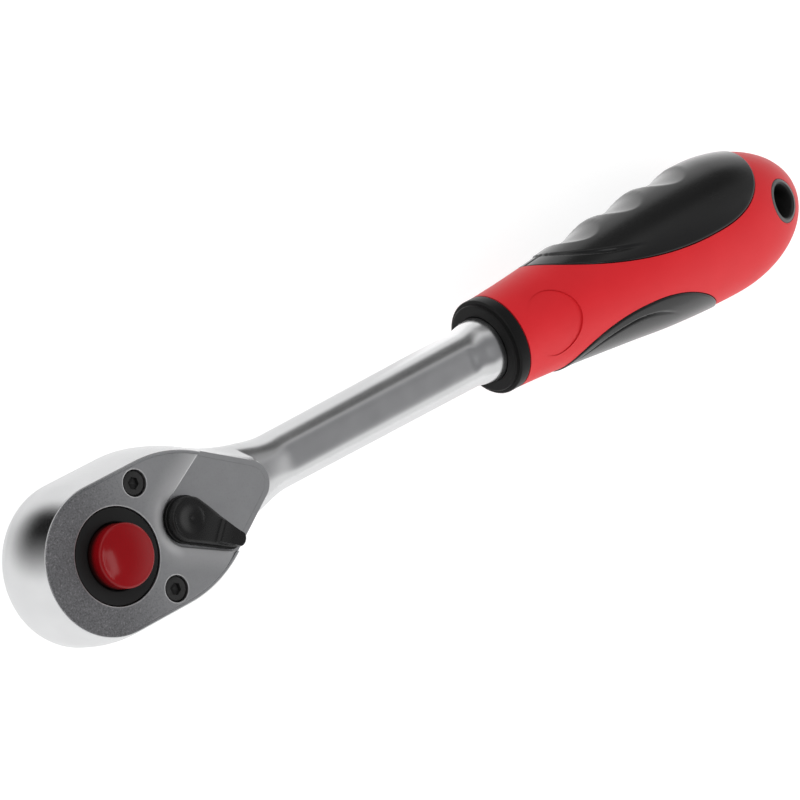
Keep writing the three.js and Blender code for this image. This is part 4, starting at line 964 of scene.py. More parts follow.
# %% [markdown]
# ## Ring and release button
# Both are turned parts. The ring is satin black plastic with rounded lips; the button is a glossy red dome with
# a soft shoulder, and a flange below the ring's lip keeps it in. A turned outline with rounded corners gives
# the highlights along the edges that a bare cylinder lacks.

# %% Ring and button
ring_outline = rounded([(7.4, -2.3, 0), (8.2, -2.3, 0), (8.2, -8.7, 0), (9.3, -8.7, 0), (9.3, -1.7, 0),
                        (10.8, -1.7, 0), (10.8, -0.3, 0.35), (7.4, -0.3, 0.45)])
show("black_ring", closed_mesh("black_ring", moved(turned(ring_outline, 144, True), (0, 0, FACE_Z))),
     "trim_black", "drive", ["button_ring"], 30)

BUTTON_R, BUTTON_TOP, BUTTON_EDGE, CROWN = 7.2, 4.0, 0.8, 0.8
crown = [(s * (BUTTON_R - BUTTON_EDGE), BUTTON_TOP + CROWN * (1 - s * s)) for s in np.linspace(1, 0.003, 18)]
shoulder = [(BUTTON_R - BUTTON_EDGE * (1 - math.cos(t)), BUTTON_TOP - BUTTON_EDGE * (1 - math.sin(t)))
            for t in np.linspace(0, math.radians(84), 10)]
side = [(BUTTON_R, z) for z in np.linspace(-2.45, BUTTON_TOP - BUTTON_EDGE, 12)[:-1]]
button_outline = [(0.003, -0.45), (2.45, -0.45), (2.45, -3.85), (8.0, -3.85), (8.0, -2.45), *side,
                  *shoulder, *crown[1:]]
button = closed_mesh("push_button", moved(turned(button_outline, 144), (0, 0, FACE_Z)))
level = np.array([v.co.z for v in button.vertices]) / MM - FACE_Z
# painted shade on the button's side, strongest at its foot next to the ring
write_mark(button, "deep", 1 - smoothstep(level, 0.1, 2.4))
show("push_button", button, "red_button", "button", ["release_button"], 40)

# %% [markdown]
# ## Reverse lever
# A black moulded drop: a hub with a shallow round dimple for the fingertip, an arm that falls towards the tip
# and a raised fin on its outer half. As on the plate, the top is a flat outline that is filled with triangles
# and lifted by a height rule, with rounded edges and a small foot round the bottom.

# %% Outline of the lever
HUB_R, TIP_REACH, TIP_ROUND = 5.4, 15.2, 2.4
LEVER_BOTTOM, HUB_TOP, TIP_TOP = -1.2, 2.2, 1.45
SWING = math.radians(43)
LEAN = math.acos((HUB_R - TIP_ROUND) / (TIP_REACH - TIP_ROUND))


def drop_outline(inset, spacing=0.25):
    hub, tip = HUB_R - inset, TIP_ROUND - inset
    far = TIP_REACH - TIP_ROUND
    turn = np.linspace(LEAN, 2 * math.pi - LEAN, 70)
    back = np.column_stack([hub * np.cos(turn), hub * np.sin(turn)])
    nose = np.linspace(-LEAN, LEAN, 24)
    front = np.column_stack([far + tip * np.cos(nose), tip * np.sin(nose)])
    steps = np.linspace(0, 1, int(far * math.sin(LEAN) / spacing))[1:-1, None]
    bow = BOW * steps * (1 - steps) * (math.cos(LEAN), math.sin(LEAN))
    return np.concatenate([back, back[-1] + (front[0] - back[-1]) * steps + bow * (1, -1), front,
                           front[-1] + (back[0] - front[-1]) * steps + bow])


def drop_distance(u, v):
    """Distance outside the drop's outline."""
    v = np.abs(v)
    far = TIP_REACH - TIP_ROUND
    run = u * math.sin(LEAN) - v * math.cos(LEAN)
    line = u * math.cos(LEAN) + v * math.sin(LEAN) - HUB_R
    flank = np.where(run < 0, np.hypot(u, v) - HUB_R, line)
    return np.where(run > far * math.sin(LEAN), np.hypot(u - far, v) - TIP_ROUND, flank)


print("the lever's sides close in by", round(2 * (90 - math.degrees(LEAN)), 1), "degrees")

# %% Height of the lever
ARM_FALL = (2.6, 11.5)
BOWL_R, BOWL_DEPTH = 3.7, 1.0
FIN_X, FIN_START, FIN_RISE, FIN_EDGE = 8, (7.4, 8.5), 0.95, 0.25
FIN_HALF, FIN_TAPER = 2.75, 0.17
FOOT_HIGH, FOOT_CROWN, FOOT_ROUND = 0.75, 0.14, 0.16
CLIMB, CLIMB_MIDDLE = (0.34, 0.4), 0.37
EDGE_WIDE, EDGE_LOSS, EDGE_RUN = 0.75, 0.5, (7, 10)


def fin_half(u):
    """Half width of the fin along the arm."""
    return FIN_HALF - FIN_TAPER * (u - FIN_X)


def lever_height(u, v):
    """A foot round the outline, then a climb to the top, with its dimple and fin and a rounded edge."""
    inside = np.clip(-drop_distance(u, v) - SLACK, 0, None)
    top = HUB_TOP + (TIP_TOP - HUB_TOP) * smoothstep(u, *ARM_FALL)
    bowl = np.clip(1 - np.hypot(u, v) / BOWL_R, 0, 1)
    top = top - BOWL_DEPTH * bowl ** 2 * (3 - 2 * bowl)
    fin = smoothstep(u, *FIN_START) * (1 - smoothstep(np.abs(v), fin_half(u) - FIN_EDGE, fin_half(u)))
    top = top + FIN_RISE * fin
    bulge = np.sqrt(np.clip(1 - (1 - np.clip(inside / FOOT_ROUND, 0, 1)) ** 2, 0, 1))
    foot = LEVER_BOTTOM + FOOT_HIGH + FOOT_CROWN * bulge
    climb = smoothstep(inside, *CLIMB)
    round_off = EDGE_WIDE - EDGE_LOSS * smoothstep(u, *EDGE_RUN)
    edge = np.clip((inside - CLIMB_MIDDLE) / round_off, 0, 1)
    body = top - round_off * (1 - np.sqrt(1 - (1 - edge) ** 2))
    return np.where(climb > 0, foot + (body - foot) * climb, foot)


print("the dimple's bottom is", round(float(lever_height(0.0, 0.0)), 2), "mm above the face")

# %% Lever and its stem
loop = drop_outline(0)
field = lattice((-6, -6), (17, 6), 0.2)
field = field[drop_distance(field[:, 0], field[:, 1]) < -1.2]
rings_in = np.concatenate([drop_outline(d) for d in (0.05, 0.1, 0.16, 0.33, 0.41, 0.46, 0.54, 0.66, 0.82, 1.0)])
reach = np.arange(7.0, 14.6, 0.2)
fin_lines = np.concatenate([np.column_stack([reach, side * (fin_half(reach) - d)])
                            for d in (0, 0.12, 0.25) for side in (1, -1)])
fin_lines = fin_lines[drop_distance(fin_lines[:, 0], fin_lines[:, 1]) < -0.45]
lever_top = fill([loop], np.concatenate([rings_in, field, fin_lines]), lambda u, v: drop_distance(u, v) < BOW,
                 lever_height)
lever_low = (np.column_stack([np.vstack([loop, (3.0, 0.0)]), np.full(len(loop) + 1, LEVER_BOTTOM)]).tolist(),
             [(k, (k + 1) % len(loop), len(loop)) for k in range(len(loop))])
lever_side = wall(looped(loop), lever_height(*looped(loop).T), LEVER_BOTTOM)
STEM_END = CAVITY_FLOOR - 1.15
stem = turned(rounded([(0.003, STEM_END, 0), (2.7, STEM_END, 0.3), (2.7, -4.9, 0), (2.2, -4.9, 0), (2.2, -4.0, 0),
                       (2.7, -4.0, 0), (2.7, -3.85, 0), (3.2, -3.85, 0), (3.2, -1.15, 0), (0.003, -1.15, 0)],
                      closed=False), 64)
PAWL_MIDDLE = (CAVITY_FLOOR + 1.1 - 5.05) / 2
plunger_bore = moved(turned([(1.25, -3.7), (1.25, 1.6)], 48, axis="x"), (0, 0, PAWL_MIDDLE))
stem = carve(closed_mesh("stem", stem), closed_mesh("plunger_bore", plunger_bore))
lever = closed_mesh("lever_drop", *[moved(part, (LEVER_X, 0, FACE_Z), -SWING)
                                    for part in (lever_top, lever_low, lever_side, shell_of(stem))])
show("lever_drop", lever, "lever_black", "lever", ["reverse_lever"], 50)

# %% [markdown]
# ## Handle
# The red shell swells from the collar to its thickest place and closes in a rounded end. Two soft pads lie in
# pockets in it, one under the fingers with three hollows and one under the palm. Skins over rings follow the
# handle's own rule, so that shell, pockets and pads agree, and the pockets, a shallow plain disc and the hanging
# hole are carved out of the shell. The eyelet is a sleeve in that hole, with a painted highlight on its lip and a
# small funnel.

# %% Rule of the handle
AXIS_Z = FACE_Z - SHANK_DEPTH
FRONT_R, MAX_R, MAX_X, END = 11.9, 17.6, 200, 29.2
FRONT_SLOPE, FLATTEN = 0.05, 0.06
HANG_X, EYELET_R, HANG_R = 215.6, 5.6, 4.1


def handle_radius(x):
    s = (x - HANDLE_X) / (MAX_X - HANDLE_X)
    slope = FRONT_SLOPE * s * (1 - s) ** 2 * (MAX_X - HANDLE_X)
    swell = FRONT_R + (MAX_R - FRONT_R) * s * s * (3 - 2 * s) + slope
    close = MAX_R * np.sqrt(np.clip(1 - (np.clip(x - MAX_X, 0, END) / END) ** 2, 0, 1))
    return np.where(x > MAX_X, close, swell)


def flatten(x):
    return 1 - FLATTEN * np.clip((x - HANDLE_X) / (MAX_X - HANDLE_X), 0, 1)


def handle_point(x, angle, lift):
    """Angle 0 is the +Y side and a quarter turn is up."""
    x, angle, lift = np.broadcast_arrays(x, angle, lift)
    radius = handle_radius(x) + lift
    return np.stack([x, radius * np.cos(angle), radius * flatten(x) * np.sin(angle) + AXIS_Z], -1)


def handle_top(x, y):
    """Height of the handle's skin above its axis."""
    return flatten(x) * np.sqrt(np.clip(handle_radius(x) ** 2 - y ** 2, 0, None))


around = np.arange(144) * 2 * math.pi / 144
stations = np.concatenate([np.linspace(HANDLE_X + 0.15, MAX_X, 70)[:-1],
                           MAX_X + END * np.sin(np.linspace(0, 0.997, 40) * math.pi / 2)])
shell = closed_mesh("handle_shell", skin(handle_point(stations[:, None], around, 0)))
print("the handle is", 2 * MAX_R, "mm wide at its thickest and ends at", MAX_X + END, "mm")

# %% Relief of the soft pads
FINGER_PAD = dict(side=0.0, middle=187, front=44.8, back=25.7, power=(2, 2.8), half=math.radians(85))
PALM_PAD = dict(side=math.pi, middle=165, front=25.5, back=26, power=(2.3, 2), half=math.radians(64))
PAD_DEPTH = 2.4
HOLLOW_X, HOLLOW_PITCH, HOLLOW_DEPTH = 175.2, 15.5, 1.65
HOLLOW_HALF, HOLLOW_TURN, HOLLOW_TILT = 7.0, math.radians(36), math.radians(7)
FINGER_CREASE, FINGER_CREASE_FRONT = math.radians(73), 39.6
PALM_CREASE, PALM_CREASE_X, PALM_CREASE_BEND = 3.0, 158, 0.0125


def pad_half(pad, x):
    ahead = x < pad["middle"]
    share = np.clip(np.abs(x - pad["middle"]) / np.where(ahead, pad["front"], pad["back"]), 0, 1)
    power = np.where(ahead, *pad["power"])
    return pad["half"] * (1 - share ** power) ** (1 / power)


def finger_relief(x, turn):
    """Three hollows, and a lower band beside a crease that runs back from the front tip."""
    hollow = 0
    for finger in (-1, 0, 1):
        ahead = (x - HOLLOW_X - HOLLOW_PITCH * finger) / HOLLOW_HALF
        beside = (turn + HOLLOW_TILT) / HOLLOW_TURN
        dish = np.clip(1 - ahead ** 2 - beside ** 2, 0, 1)
        hollow = hollow + HOLLOW_DEPTH * dish * (1 - 0.25 * dish)
    forward = (FINGER_PAD["middle"] - x) / FINGER_CREASE_FRONT
    line = FINGER_CREASE * np.sqrt(np.clip(1 - forward ** 2, 0, 1))
    past = (np.abs(turn) - line) * handle_radius(x)
    fade = 1 - smoothstep(x, 158, 170)
    groove = 0.45 * np.exp(-(past / 0.4) ** 2)
    return hollow + fade * (0.25 * smoothstep(past, -0.15, 0.35) + groove)


def palm_relief(x, turn):
    """A thumb hollow bounded by a crease."""
    from_edge = (pad_half(PALM_PAD, x) - np.abs(turn)) * handle_radius(x)
    past = from_edge - PALM_CREASE - PALM_CREASE_BEND * np.clip(x - PALM_CREASE_X, 0, None) ** 2
    fade = smoothstep(x, 140, 144) * (1 - smoothstep(x, 163, 176))
    return fade * (0.2 * smoothstep(past, -0.1, 0.6) + 0.6 * np.exp(-(past / 0.36) ** 2))


print("the middle hollow is", round(float(finger_relief(HOLLOW_X, -HOLLOW_TILT)), 2), "mm deep")

# %% Soft pads
PAD_LIP, PAD_LIP_WIDE, PAD_PROUD, PAD_PLAY = 0.55, 0.7, 0.3, 0.1


def pad_rings(pad, grow, below, above, relief=None, steps=150, across=140):
    """Rings of a pad along the handle: its outer skin and its bottom."""
    low, high = pad["middle"] - pad["front"], pad["middle"] + pad["back"]
    share = (1 - np.cos(np.linspace(0.012, 0.988, steps) * math.pi)) / 2
    x = low + (high - low) * share
    half = pad_half(pad, x) + grow / handle_radius(x)
    x = pad["middle"] + (x - pad["middle"]) * (1 + grow / pad["front"])
    turn = half[:, None] * np.linspace(-1, 1, across)
    lift = np.full_like(turn, above)
    if relief:
        inset = (half[:, None] - np.abs(turn)) * handle_radius(x)[:, None]
        lip = PAD_LIP * (1 - np.sqrt(1 - np.clip(1 - inset / PAD_LIP_WIDE, 0, 1) ** 2))
        lift = above - lip - relief(x[:, None], turn)
    outer = handle_point(x[:, None], pad["side"] + turn, lift)
    inner = handle_point(x[:, None], pad["side"] + turn, -below)
    return np.concatenate([outer, inner[:, ::-1]], 1)


pockets = [closed_mesh("pocket", skin(pad_rings(pad, PAD_PLAY, PAD_DEPTH + PAD_PLAY, 2.0)))
           for pad in (FINGER_PAD, PALM_PAD)]
pads = {"finger_pad": (FINGER_PAD, finger_relief, "grip_pad_left"),
        "palm_pad": (PALM_PAD, palm_relief, "grip_pad_right")}
for name, (pad, relief, node) in pads.items():
    mesh = closed_mesh(name, skin(pad_rings(pad, 0, PAD_DEPTH, PAD_PROUD, relief)))
    show(name, mesh, "soft_black", "head", [node], 45)

# %% Shell
MARK_X, MARK_R = 135.6, 7.85
MARK_SINK, MARK_SLOPE = 0.05, 0.024
TANG_BORE, HANG_PLAY = 5.9, 0.08


def mark_disc():
    """A shallow disc that sinks deeper towards the thick end of the handle."""
    turn = np.arange(144) * 2 * math.pi / 144
    steps = np.linspace(0.002, 1, 16) * MARK_R
    rings = []
    for radius, lift in [(r, 1.0) for r in steps] + [(r, None) for r in steps[::-1]]:
        x, y = MARK_X + radius * np.cos(turn), radius * np.sin(turn)
        sink = -MARK_SINK - MARK_SLOPE * (x - MARK_X + MARK_R)
        rings.append(np.column_stack([x, y, handle_top(x, y) + (sink if lift is None else lift) + AXIS_Z]))
    return skin(rings)


hang = turned([(EYELET_R + HANG_PLAY, -30), (EYELET_R + HANG_PLAY, 30)], 96)
tang_bore = turned([(TANG_BORE, HANDLE_X - 5), (TANG_BORE, HANDLE_X + TANG_LENGTH + 0.5)], 72, axis="x")
shell = carve(shell, *pockets, closed_mesh("mark", mark_disc()),
              closed_mesh("hang", moved(hang, (HANG_X, 0, AXIS_Z))),
              closed_mesh("tang_bore", moved(tang_bore, (0, 0, AXIS_Z))))
shell.materials.clear()
show("handle_shell", shell, "red_plastic", "head", ["handle_body"], 35)


# %% Eyelet
def eyelet_rings():
    """A sleeve whose lips follow the handle's skin above and below."""
    turn = np.arange(96) * 2 * math.pi / 96
    lip = [(EYELET_R, -0.5), (EYELET_R, -0.12), (EYELET_R - 0.12, 0.0), (HANG_R + 0.8, 0.0),
           (HANG_R + 0.6, -0.06), (HANG_R + 0.35, -0.3), (HANG_R + 0.12, -0.75), (HANG_R, -1.4)]
    rings = []
    for side, rows in ((1, lip), (-1, lip[::-1])):
        for radius, lift in rows:
            x, y = HANG_X + radius * np.cos(turn), radius * np.sin(turn)
            rings.append(np.column_stack([x, y, AXIS_Z + side * (handle_top(x, y) + lift)]))
    return skin(rings, loop=True)


eyelet = closed_mesh("eyelet_sleeve", eyelet_rings())
spots = np.array([v.co for v in eyelet.vertices]) / MM
lip = np.hypot(spots[:, 0] - HANG_X, spots[:, 1])
# painted highlight: a ring on the eyelet's lip is made lighter in colour
write_mark(eyelet, "painted_light", np.where((lip > HANG_R + 0.7) & (lip < EYELET_R - 0.05), 0.8, 0.0))
show("eyelet_sleeve", eyelet, "black_steel", "head", ["hang_eyelet"], 40)

# %% Front collar
COLLAR_BORE, LEDGE_R, LEDGE, COLLAR_PLAY = 8.2, 10.9, 0.85, 0.1
collar = rounded([(COLLAR_BORE, COLLAR_X, 0.2), (LEDGE_R, COLLAR_X, 0.35), (LEDGE_R, COLLAR_X + LEDGE, 0.1),
                  (FRONT_R, COLLAR_X + LEDGE, 0.45), (FRONT_R, HANDLE_X - COLLAR_PLAY, 0.15),
                  (COLLAR_BORE, HANDLE_X - COLLAR_PLAY, 0)])
show("collar_ring", closed_mesh("collar_ring", moved(turned(collar, 144, True, "x"), (0, 0, AXIS_Z))),
     "black_plastic", "head", ["front_collar"], 30)

# %% [markdown]
# ## Drive gear and its square
# The gear sits inside the head, and its hub and square come out below. Its 72 teeth are one rule repeated, so
# Geometry Nodes make them: a circle whose points go in and out in fours, filled and given a height. That disc is
# bored to a ring round the hub, so that the button and its pin have room inside. The hub, the rounded square and
# the ball's hole are rings and bores.

# %% Gear teeth
INTEGER = "NodeSocketInt"
TEETH, GEAR_TIP, GEAR_ROOT, GEAR_HIGH, GEAR_LIFT = 72, 12, 11.2, 9.1, 1.1


def teeth_recipe():
    r = Recipe("gear_teeth", teeth=INTEGER, land=FLOAT, tip_radius=FLOAT, root_radius=FLOAT, low=FLOAT, height=FLOAT,
               finish=MATERIAL)

    def maths(operation, *values):
        return r.add("ShaderNodeMath", {"operation": operation}, dict(enumerate(values)))

    ring = r.add("GeometryNodeMeshCircle", {"fill_type": "NGON"}, {
        "Vertices": maths("MULTIPLY", r.get("teeth"), 4.0), "Radius": 1.0})
    index = r.add("GeometryNodeInputIndex")
    tooth = maths("FLOOR", maths("DIVIDE", index, 4.0))
    beside = maths("SUBTRACT", maths("MODULO", index, 4.0), 1.5)
    on_tip = maths("LESS_THAN", maths("ABSOLUTE", beside), 1.0)
    half_land = maths("MULTIPLY", r.get("land"), 0.5)
    foot = maths("SUBTRACT", 0.5, half_land)
    share = maths("MULTIPLY_ADD", on_tip, maths("SUBTRACT", half_land, foot), foot)
    turn = maths("MULTIPLY", maths("MULTIPLY_ADD", maths("SIGN", beside), share, tooth),
                 maths("DIVIDE", 2 * math.pi, r.get("teeth")))
    span = maths("SUBTRACT", r.get("tip_radius"), r.get("root_radius"))
    radius = maths("MULTIPLY_ADD", on_tip, span, r.get("root_radius"))
    spot = r.add("ShaderNodeCombineXYZ", None, {
        "X": maths("MULTIPLY", maths("COSINE", turn), radius), "Y": maths("MULTIPLY", maths("SINE", turn), radius),
        "Z": r.get("low")})
    disc = r.add("GeometryNodeSetPosition", None, {"Geometry": ring, "Position": spot})
    flipped = r.add("GeometryNodeFlipFaces", None, {0: disc})
    solid = r.add("GeometryNodeExtrudeMesh", {"mode": "FACES"}, {
        "Mesh": disc, "Offset": r.add("ShaderNodeCombineXYZ", None, {"Z": 1.0}), "Offset Scale": r.get("height")})
    both = r.add("GeometryNodeJoinGeometry", None, {0: solid})
    r.tree.links.new(flipped, both.node.inputs[0])
    closed = r.add("GeometryNodeMergeByDistance", None, {"Geometry": both, "Distance": 1e-6})
    r.end(closed)
    return r


gear_teeth = teeth_recipe()
print("recipe for the teeth:", len(gear_teeth.tree.nodes), "nodes")


# %% Hub and square
SQUARE, SQUARE_END, SQUARE_CORNER, HUB_RING = 12.7, 10.6, 1.3, 10.8
BALL_Z, BALL_X, BALL_R = 6, -4.95, 2.4


def square_ring(size, corner, z, steps=192):
    """A rounded square, as one ring."""
    turn = np.arange(steps) * 2 * math.pi / steps
    c, s = np.abs(np.cos(turn)), np.abs(np.sin(turn))
    half, flat = size / 2, size / 2 - corner
    straight = half / np.maximum(c, s)
    dot = flat * (c + s)
    bend = dot + np.sqrt(np.clip(dot ** 2 - 2 * flat ** 2 + corner ** 2, 0, None))
    radius = np.where(straight * np.minimum(c, s) > flat, bend, straight)
    return np.column_stack([radius * np.cos(turn), radius * np.sin(turn), np.full(steps, z)])


def round_ring(radius, z, steps=192):
    turn = np.arange(steps) * 2 * math.pi / steps
    return np.column_stack([radius * np.cos(turn), radius * np.sin(turn), np.full(steps, z)])


hub = skin([square_ring(SQUARE_END, 0.9, 0.0), square_ring(10.9, 0.95, 0.05), square_ring(12.6, SQUARE_CORNER, 0.95),
            square_ring(SQUARE, SQUARE_CORNER, 1.1), square_ring(SQUARE, SQUARE_CORNER, 14.3),
            square_ring(13.0, 1.4, 14.5), round_ring(10.2, 14.5), round_ring(10.6, 14.6),
            round_ring(HUB_RING, 14.9), round_ring(HUB_RING, FACE_Z - 1.85)])
ball_hole = turned([(2.65, -6.15), (2.65, 0)], 48, axis="x")
ball_lip = turned([(2.2, -8), (2.2, -5)], 48, axis="x")
hub = carve(closed_mesh("hub", hub), closed_mesh("ring_bore", drilled(9.45, -8.85, 5)),
            closed_mesh("spring_room", drilled(3.8, -12.15, 5, steps=48)),
            closed_mesh("pin_bore", drilled(2.5, 1.3 - FACE_Z, 5, steps=48)),
            closed_mesh("ball_hole", moved(ball_hole, (0, 0, BALL_Z))),
            closed_mesh("ball_lip", moved(ball_lip, (0, 0, BALL_Z))))
teeth = gear_teeth.grow(bpy.data.meshes.new("empty"), teeth=TEETH, land=0.16, tip_radius=GEAR_TIP * MM,
                        root_radius=GEAR_ROOT * MM, low=(FACE_Z + CAVITY_FLOOR + GEAR_LIFT) * MM,
                        height=GEAR_HIGH * MM, finish=finishes["bright_steel"])
teeth = carve(teeth, closed_mesh("core", drilled(10.3, -30, 5, steps=192)))
gear = closed_mesh("toothed_gear", shell_of(hub), shell_of(teeth))
show("toothed_gear", gear, "bright_steel", "drive", ["drive_gear"], 30)

arc = np.linspace(0.01, math.pi - 0.01, 40)
ball = turned(np.column_stack([BALL_R * np.sin(arc), -BALL_R * np.cos(arc)]), 64, axis="x")
show("steel_ball", closed_mesh("steel_ball", moved(ball, (BALL_X, 0, BALL_Z))), "bright_steel", "ball", ["lock_ball"],
     60)

# %% [markdown]
# ## Springs and seals
# A coil spring is wire along a spiral, so a Geometry Nodes recipe sweeps a round section along one, and both
# springs are grown from it. The two seals are plain rings, so a round section is turned about its axis
# for them. None of these shows from outside.

# %% Wire recipe
def wire_recipe():
    r = Recipe("wound_wire", turns=FLOAT, radius=FLOAT, rise=FLOAT, wire=FLOAT, finish=MATERIAL)
    path = r.add("GeometryNodeCurveSpiral", None, {
        "Resolution": 40, "Rotations": r.get("turns"), "Start Radius": r.get("radius"), "End Radius": r.get("radius"),
        "Height": r.get("rise")})
    section = r.add("GeometryNodeCurvePrimitiveCircle", None, {"Resolution": 16, "Radius": r.get("wire")})
    tube = r.add("GeometryNodeCurveToMesh", None, {"Curve": path, "Profile Curve": section, "Fill Caps": True})
    r.end(tube)
    return r


wire = wire_recipe()
print("recipe for wire:", len(wire.tree.nodes), "nodes")

# %% Springs
RELEASE_FLOOR, RELEASE_LENGTH, RELEASE_WIRE = -12, 8, 0.9
DETENT_END, DETENT_LENGTH, DETENT_WIRE = 1.45, 2.5, 0.36


def wound(turns, radius, length, width):
    """A spring of a full length, made of wire of a width."""
    return wire.grow(bpy.data.meshes.new("empty"), turns=float(turns), radius=radius * MM, rise=(length - width) * MM,
                     wire=width / 2 * MM, finish=finishes["bright_steel"])


release = wound(5, 3.05, RELEASE_LENGTH, RELEASE_WIRE)
release.transform(Matrix.Translation((0, 0, (FACE_Z + RELEASE_FLOOR + RELEASE_WIRE / 2) * MM)))
coil = show("release_coil", release, "bright_steel", "drive", ["release_spring"], 60)
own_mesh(coil)
detent = wound(2, 0.92, DETENT_LENGTH, DETENT_WIRE)
lay = Matrix.Translation((LEVER_X * MM, 0, (FACE_Z + PAWL_MIDDLE) * MM)) @ Matrix.Rotation(-SWING, 4, "Z") \
    @ Matrix.Rotation(-math.pi / 2, 4, "Y")
detent.transform(lay @ Matrix.Translation((0, 0, (-DETENT_END + DETENT_WIRE / 2 + 0.15) * MM)))
coil = show("detent_coil", detent, "bright_steel", "lever", ["detent_spring"], 60)
inward = Vector((math.cos(SWING), -math.sin(SWING), 0))
Vector((LEVER_X * MM, 0, (FACE_Z + PAWL_MIDDLE) * MM)) + inward * DETENT_END * MM
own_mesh(coil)


# %% Seals
def seal_rings(radius, width, z, x=0.0):
    turn = np.linspace(0, 2 * math.pi, 16, endpoint=False)
    outline = np.column_stack([radius + width / 2 * np.cos(turn), z + width / 2 * np.sin(turn)])
    return moved(turned(outline, 96, True), (x, 0, FACE_Z))


show("hub_seal", closed_mesh("hub_seal", seal_rings(11.55, 1.2, 2 - THICK)), "seal_rubber", "head", ["drive_seal"],
     60)
show("stem_seal", closed_mesh("stem_seal", seal_rings(3.9, 1.1, -1.95, LEVER_X)), "seal_rubber", "head",
     ["lever_seal"], 60)

# %% [markdown]
# ## Inner pieces that stay as they are
# The washer, the pins, the pawl, the clip and the plunger are hidden and simple, so their solids are good enough.
# They only change their plain material for a finish.

# %% Inner solids
inner_finish = {"thrust_washer": "bright_steel", "release_pin": "bright_steel", "pawl": "black_steel",
                "pawl_pin": "bright_steel", "lever_clip": "bright_steel", "detent_plunger": "bright_steel"}
for node, finish in inner_finish.items():
    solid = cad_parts[node]
    solid.data.materials.clear()
    solid.data.materials.append(finishes[finish])
print("solids kept:", ", ".join(inner_finish))

# %% [markdown]
# ## Camera
# The photograph was taken from above the nose with a long lens, with the camera rolled so that the handle
# rises to the upper right. The three axes of the camera come from fitting the head's and handle's outlines.

# %% Camera
SENSOR, LENS = 36, 180
CAMERA_RIGHT, CAMERA_BACK = (0.7185, -0.3557, 0.5977), (-0.5789, 0.1705, 0.7974)
CAMERA_PLACE = (-0.44555, 0.15745, FACE_Z * MM + 0.73175)
lens = bpy.data.cameras.new("camera")
lens.sensor_width, lens.lens = SENSOR, LENS
lens.clip_start, lens.clip_end = 0.05, 50
camera = bpy.data.objects.new("camera", lens)
right = Vector(CAMERA_RIGHT).normalized()
back = Vector(CAMERA_BACK).normalized()
up = back.cross(right).normalized()
right = up.cross(back)
camera.matrix_world = Matrix.Translation(CAMERA_PLACE) @ Matrix((right, up, back)).transposed().to_4x4()
bpy.context.scene.collection.objects.link(camera)
bpy.context.scene.camera = camera
print("camera", round(Vector(CAMERA_PLACE).length, 3), "m from the square, lens", LENS, "mm")

# %% [markdown]
# ## Floor and light
# The tool lies on its square and on the thick end of its handle, so the floor leans a little. The floor is
# matt white and keeps the soft shadow. Seen directly it gets some extra white, and in mirrors as well: more beside
# the handle, so that the finger hollows shine, and less far behind it. Around it is a white studio that turns grey
# overhead, with two dark doorways behind the tool: the shank's dark line and the calm end of the finger pad are
# their mirror images. Soft boxes that mirrors can't see light it from the sides, and one small window stays
# visible in mirrors.

# %% Floor
FLOOR_HALF, FLOOR_GAP = 1.6, 0.0002
SEEN_WHITE, MIRROR_WHITE, MIRROR_FADE, MIRROR_CARD = 0.7, 0.6, 0.45, 0.5
edge = SQUARE_END / 2
lowest = min((AXIS_Z - float(handle_radius(x) * flatten(x))) / (x - edge) for x in np.linspace(150, 230, 200))
tilt = math.atan(lowest)
floor_mesh = bpy.data.meshes.new("floor")
corners = [(x * FLOOR_HALF, y * FLOOR_HALF) for x, y in ((-1, -1), (1, -1), (1, 1), (-1, 1))]
floor_mesh.from_pydata([(x, y, (x - edge * MM) * math.tan(tilt) - FLOOR_GAP) for x, y in corners], [], [(0, 1, 2, 3)])
floor = bpy.data.objects.new("floor", floor_mesh)
bpy.context.scene.collection.objects.link(floor)
f = new_finish("floor_white")
camera_ray, glossy_ray, clear_ray = (f.add("ShaderNodeLightPath", output=ray) for ray in (
    "Is Camera Ray", "Is Glossy Ray", "Is Transmission Ray"))
paper = f.noise(1.5, 2)
matt = f.add("ShaderNodeBsdfDiffuse", None, {"Color": f.blend(paper, grey(0.45), grey(0.47))})
spot_x, spot_y = (f.add("ShaderNodeSeparateXYZ", None, {0: f.place()}, axis) for axis in (0, 1))
beyond = f.ramp(spot_y, 0.06, 0.30)
beside_grip = f.ramp(spot_y, 0.06, 0.03) * f.ramp(spot_y, -0.02, 0.0) * f.ramp(spot_x, 0.11, 0.13)
in_mirrors = MIRROR_WHITE - beyond * MIRROR_FADE + beside_grip * MIRROR_CARD
extra = f.add("ShaderNodeEmission", None, {
    "Color": grey(1.0), "Strength": camera_ray * SEEN_WHITE + (glossy_ray + clear_ray) * in_mirrors})
both = f.add("ShaderNodeAddShader", None, {0: matt, 1: extra})
f.add("ShaderNodeOutputMaterial", None, {"Surface": both})
floor_mesh.materials.append(f.owner)
print("floor leans", round(math.degrees(tilt), 2), "degrees")

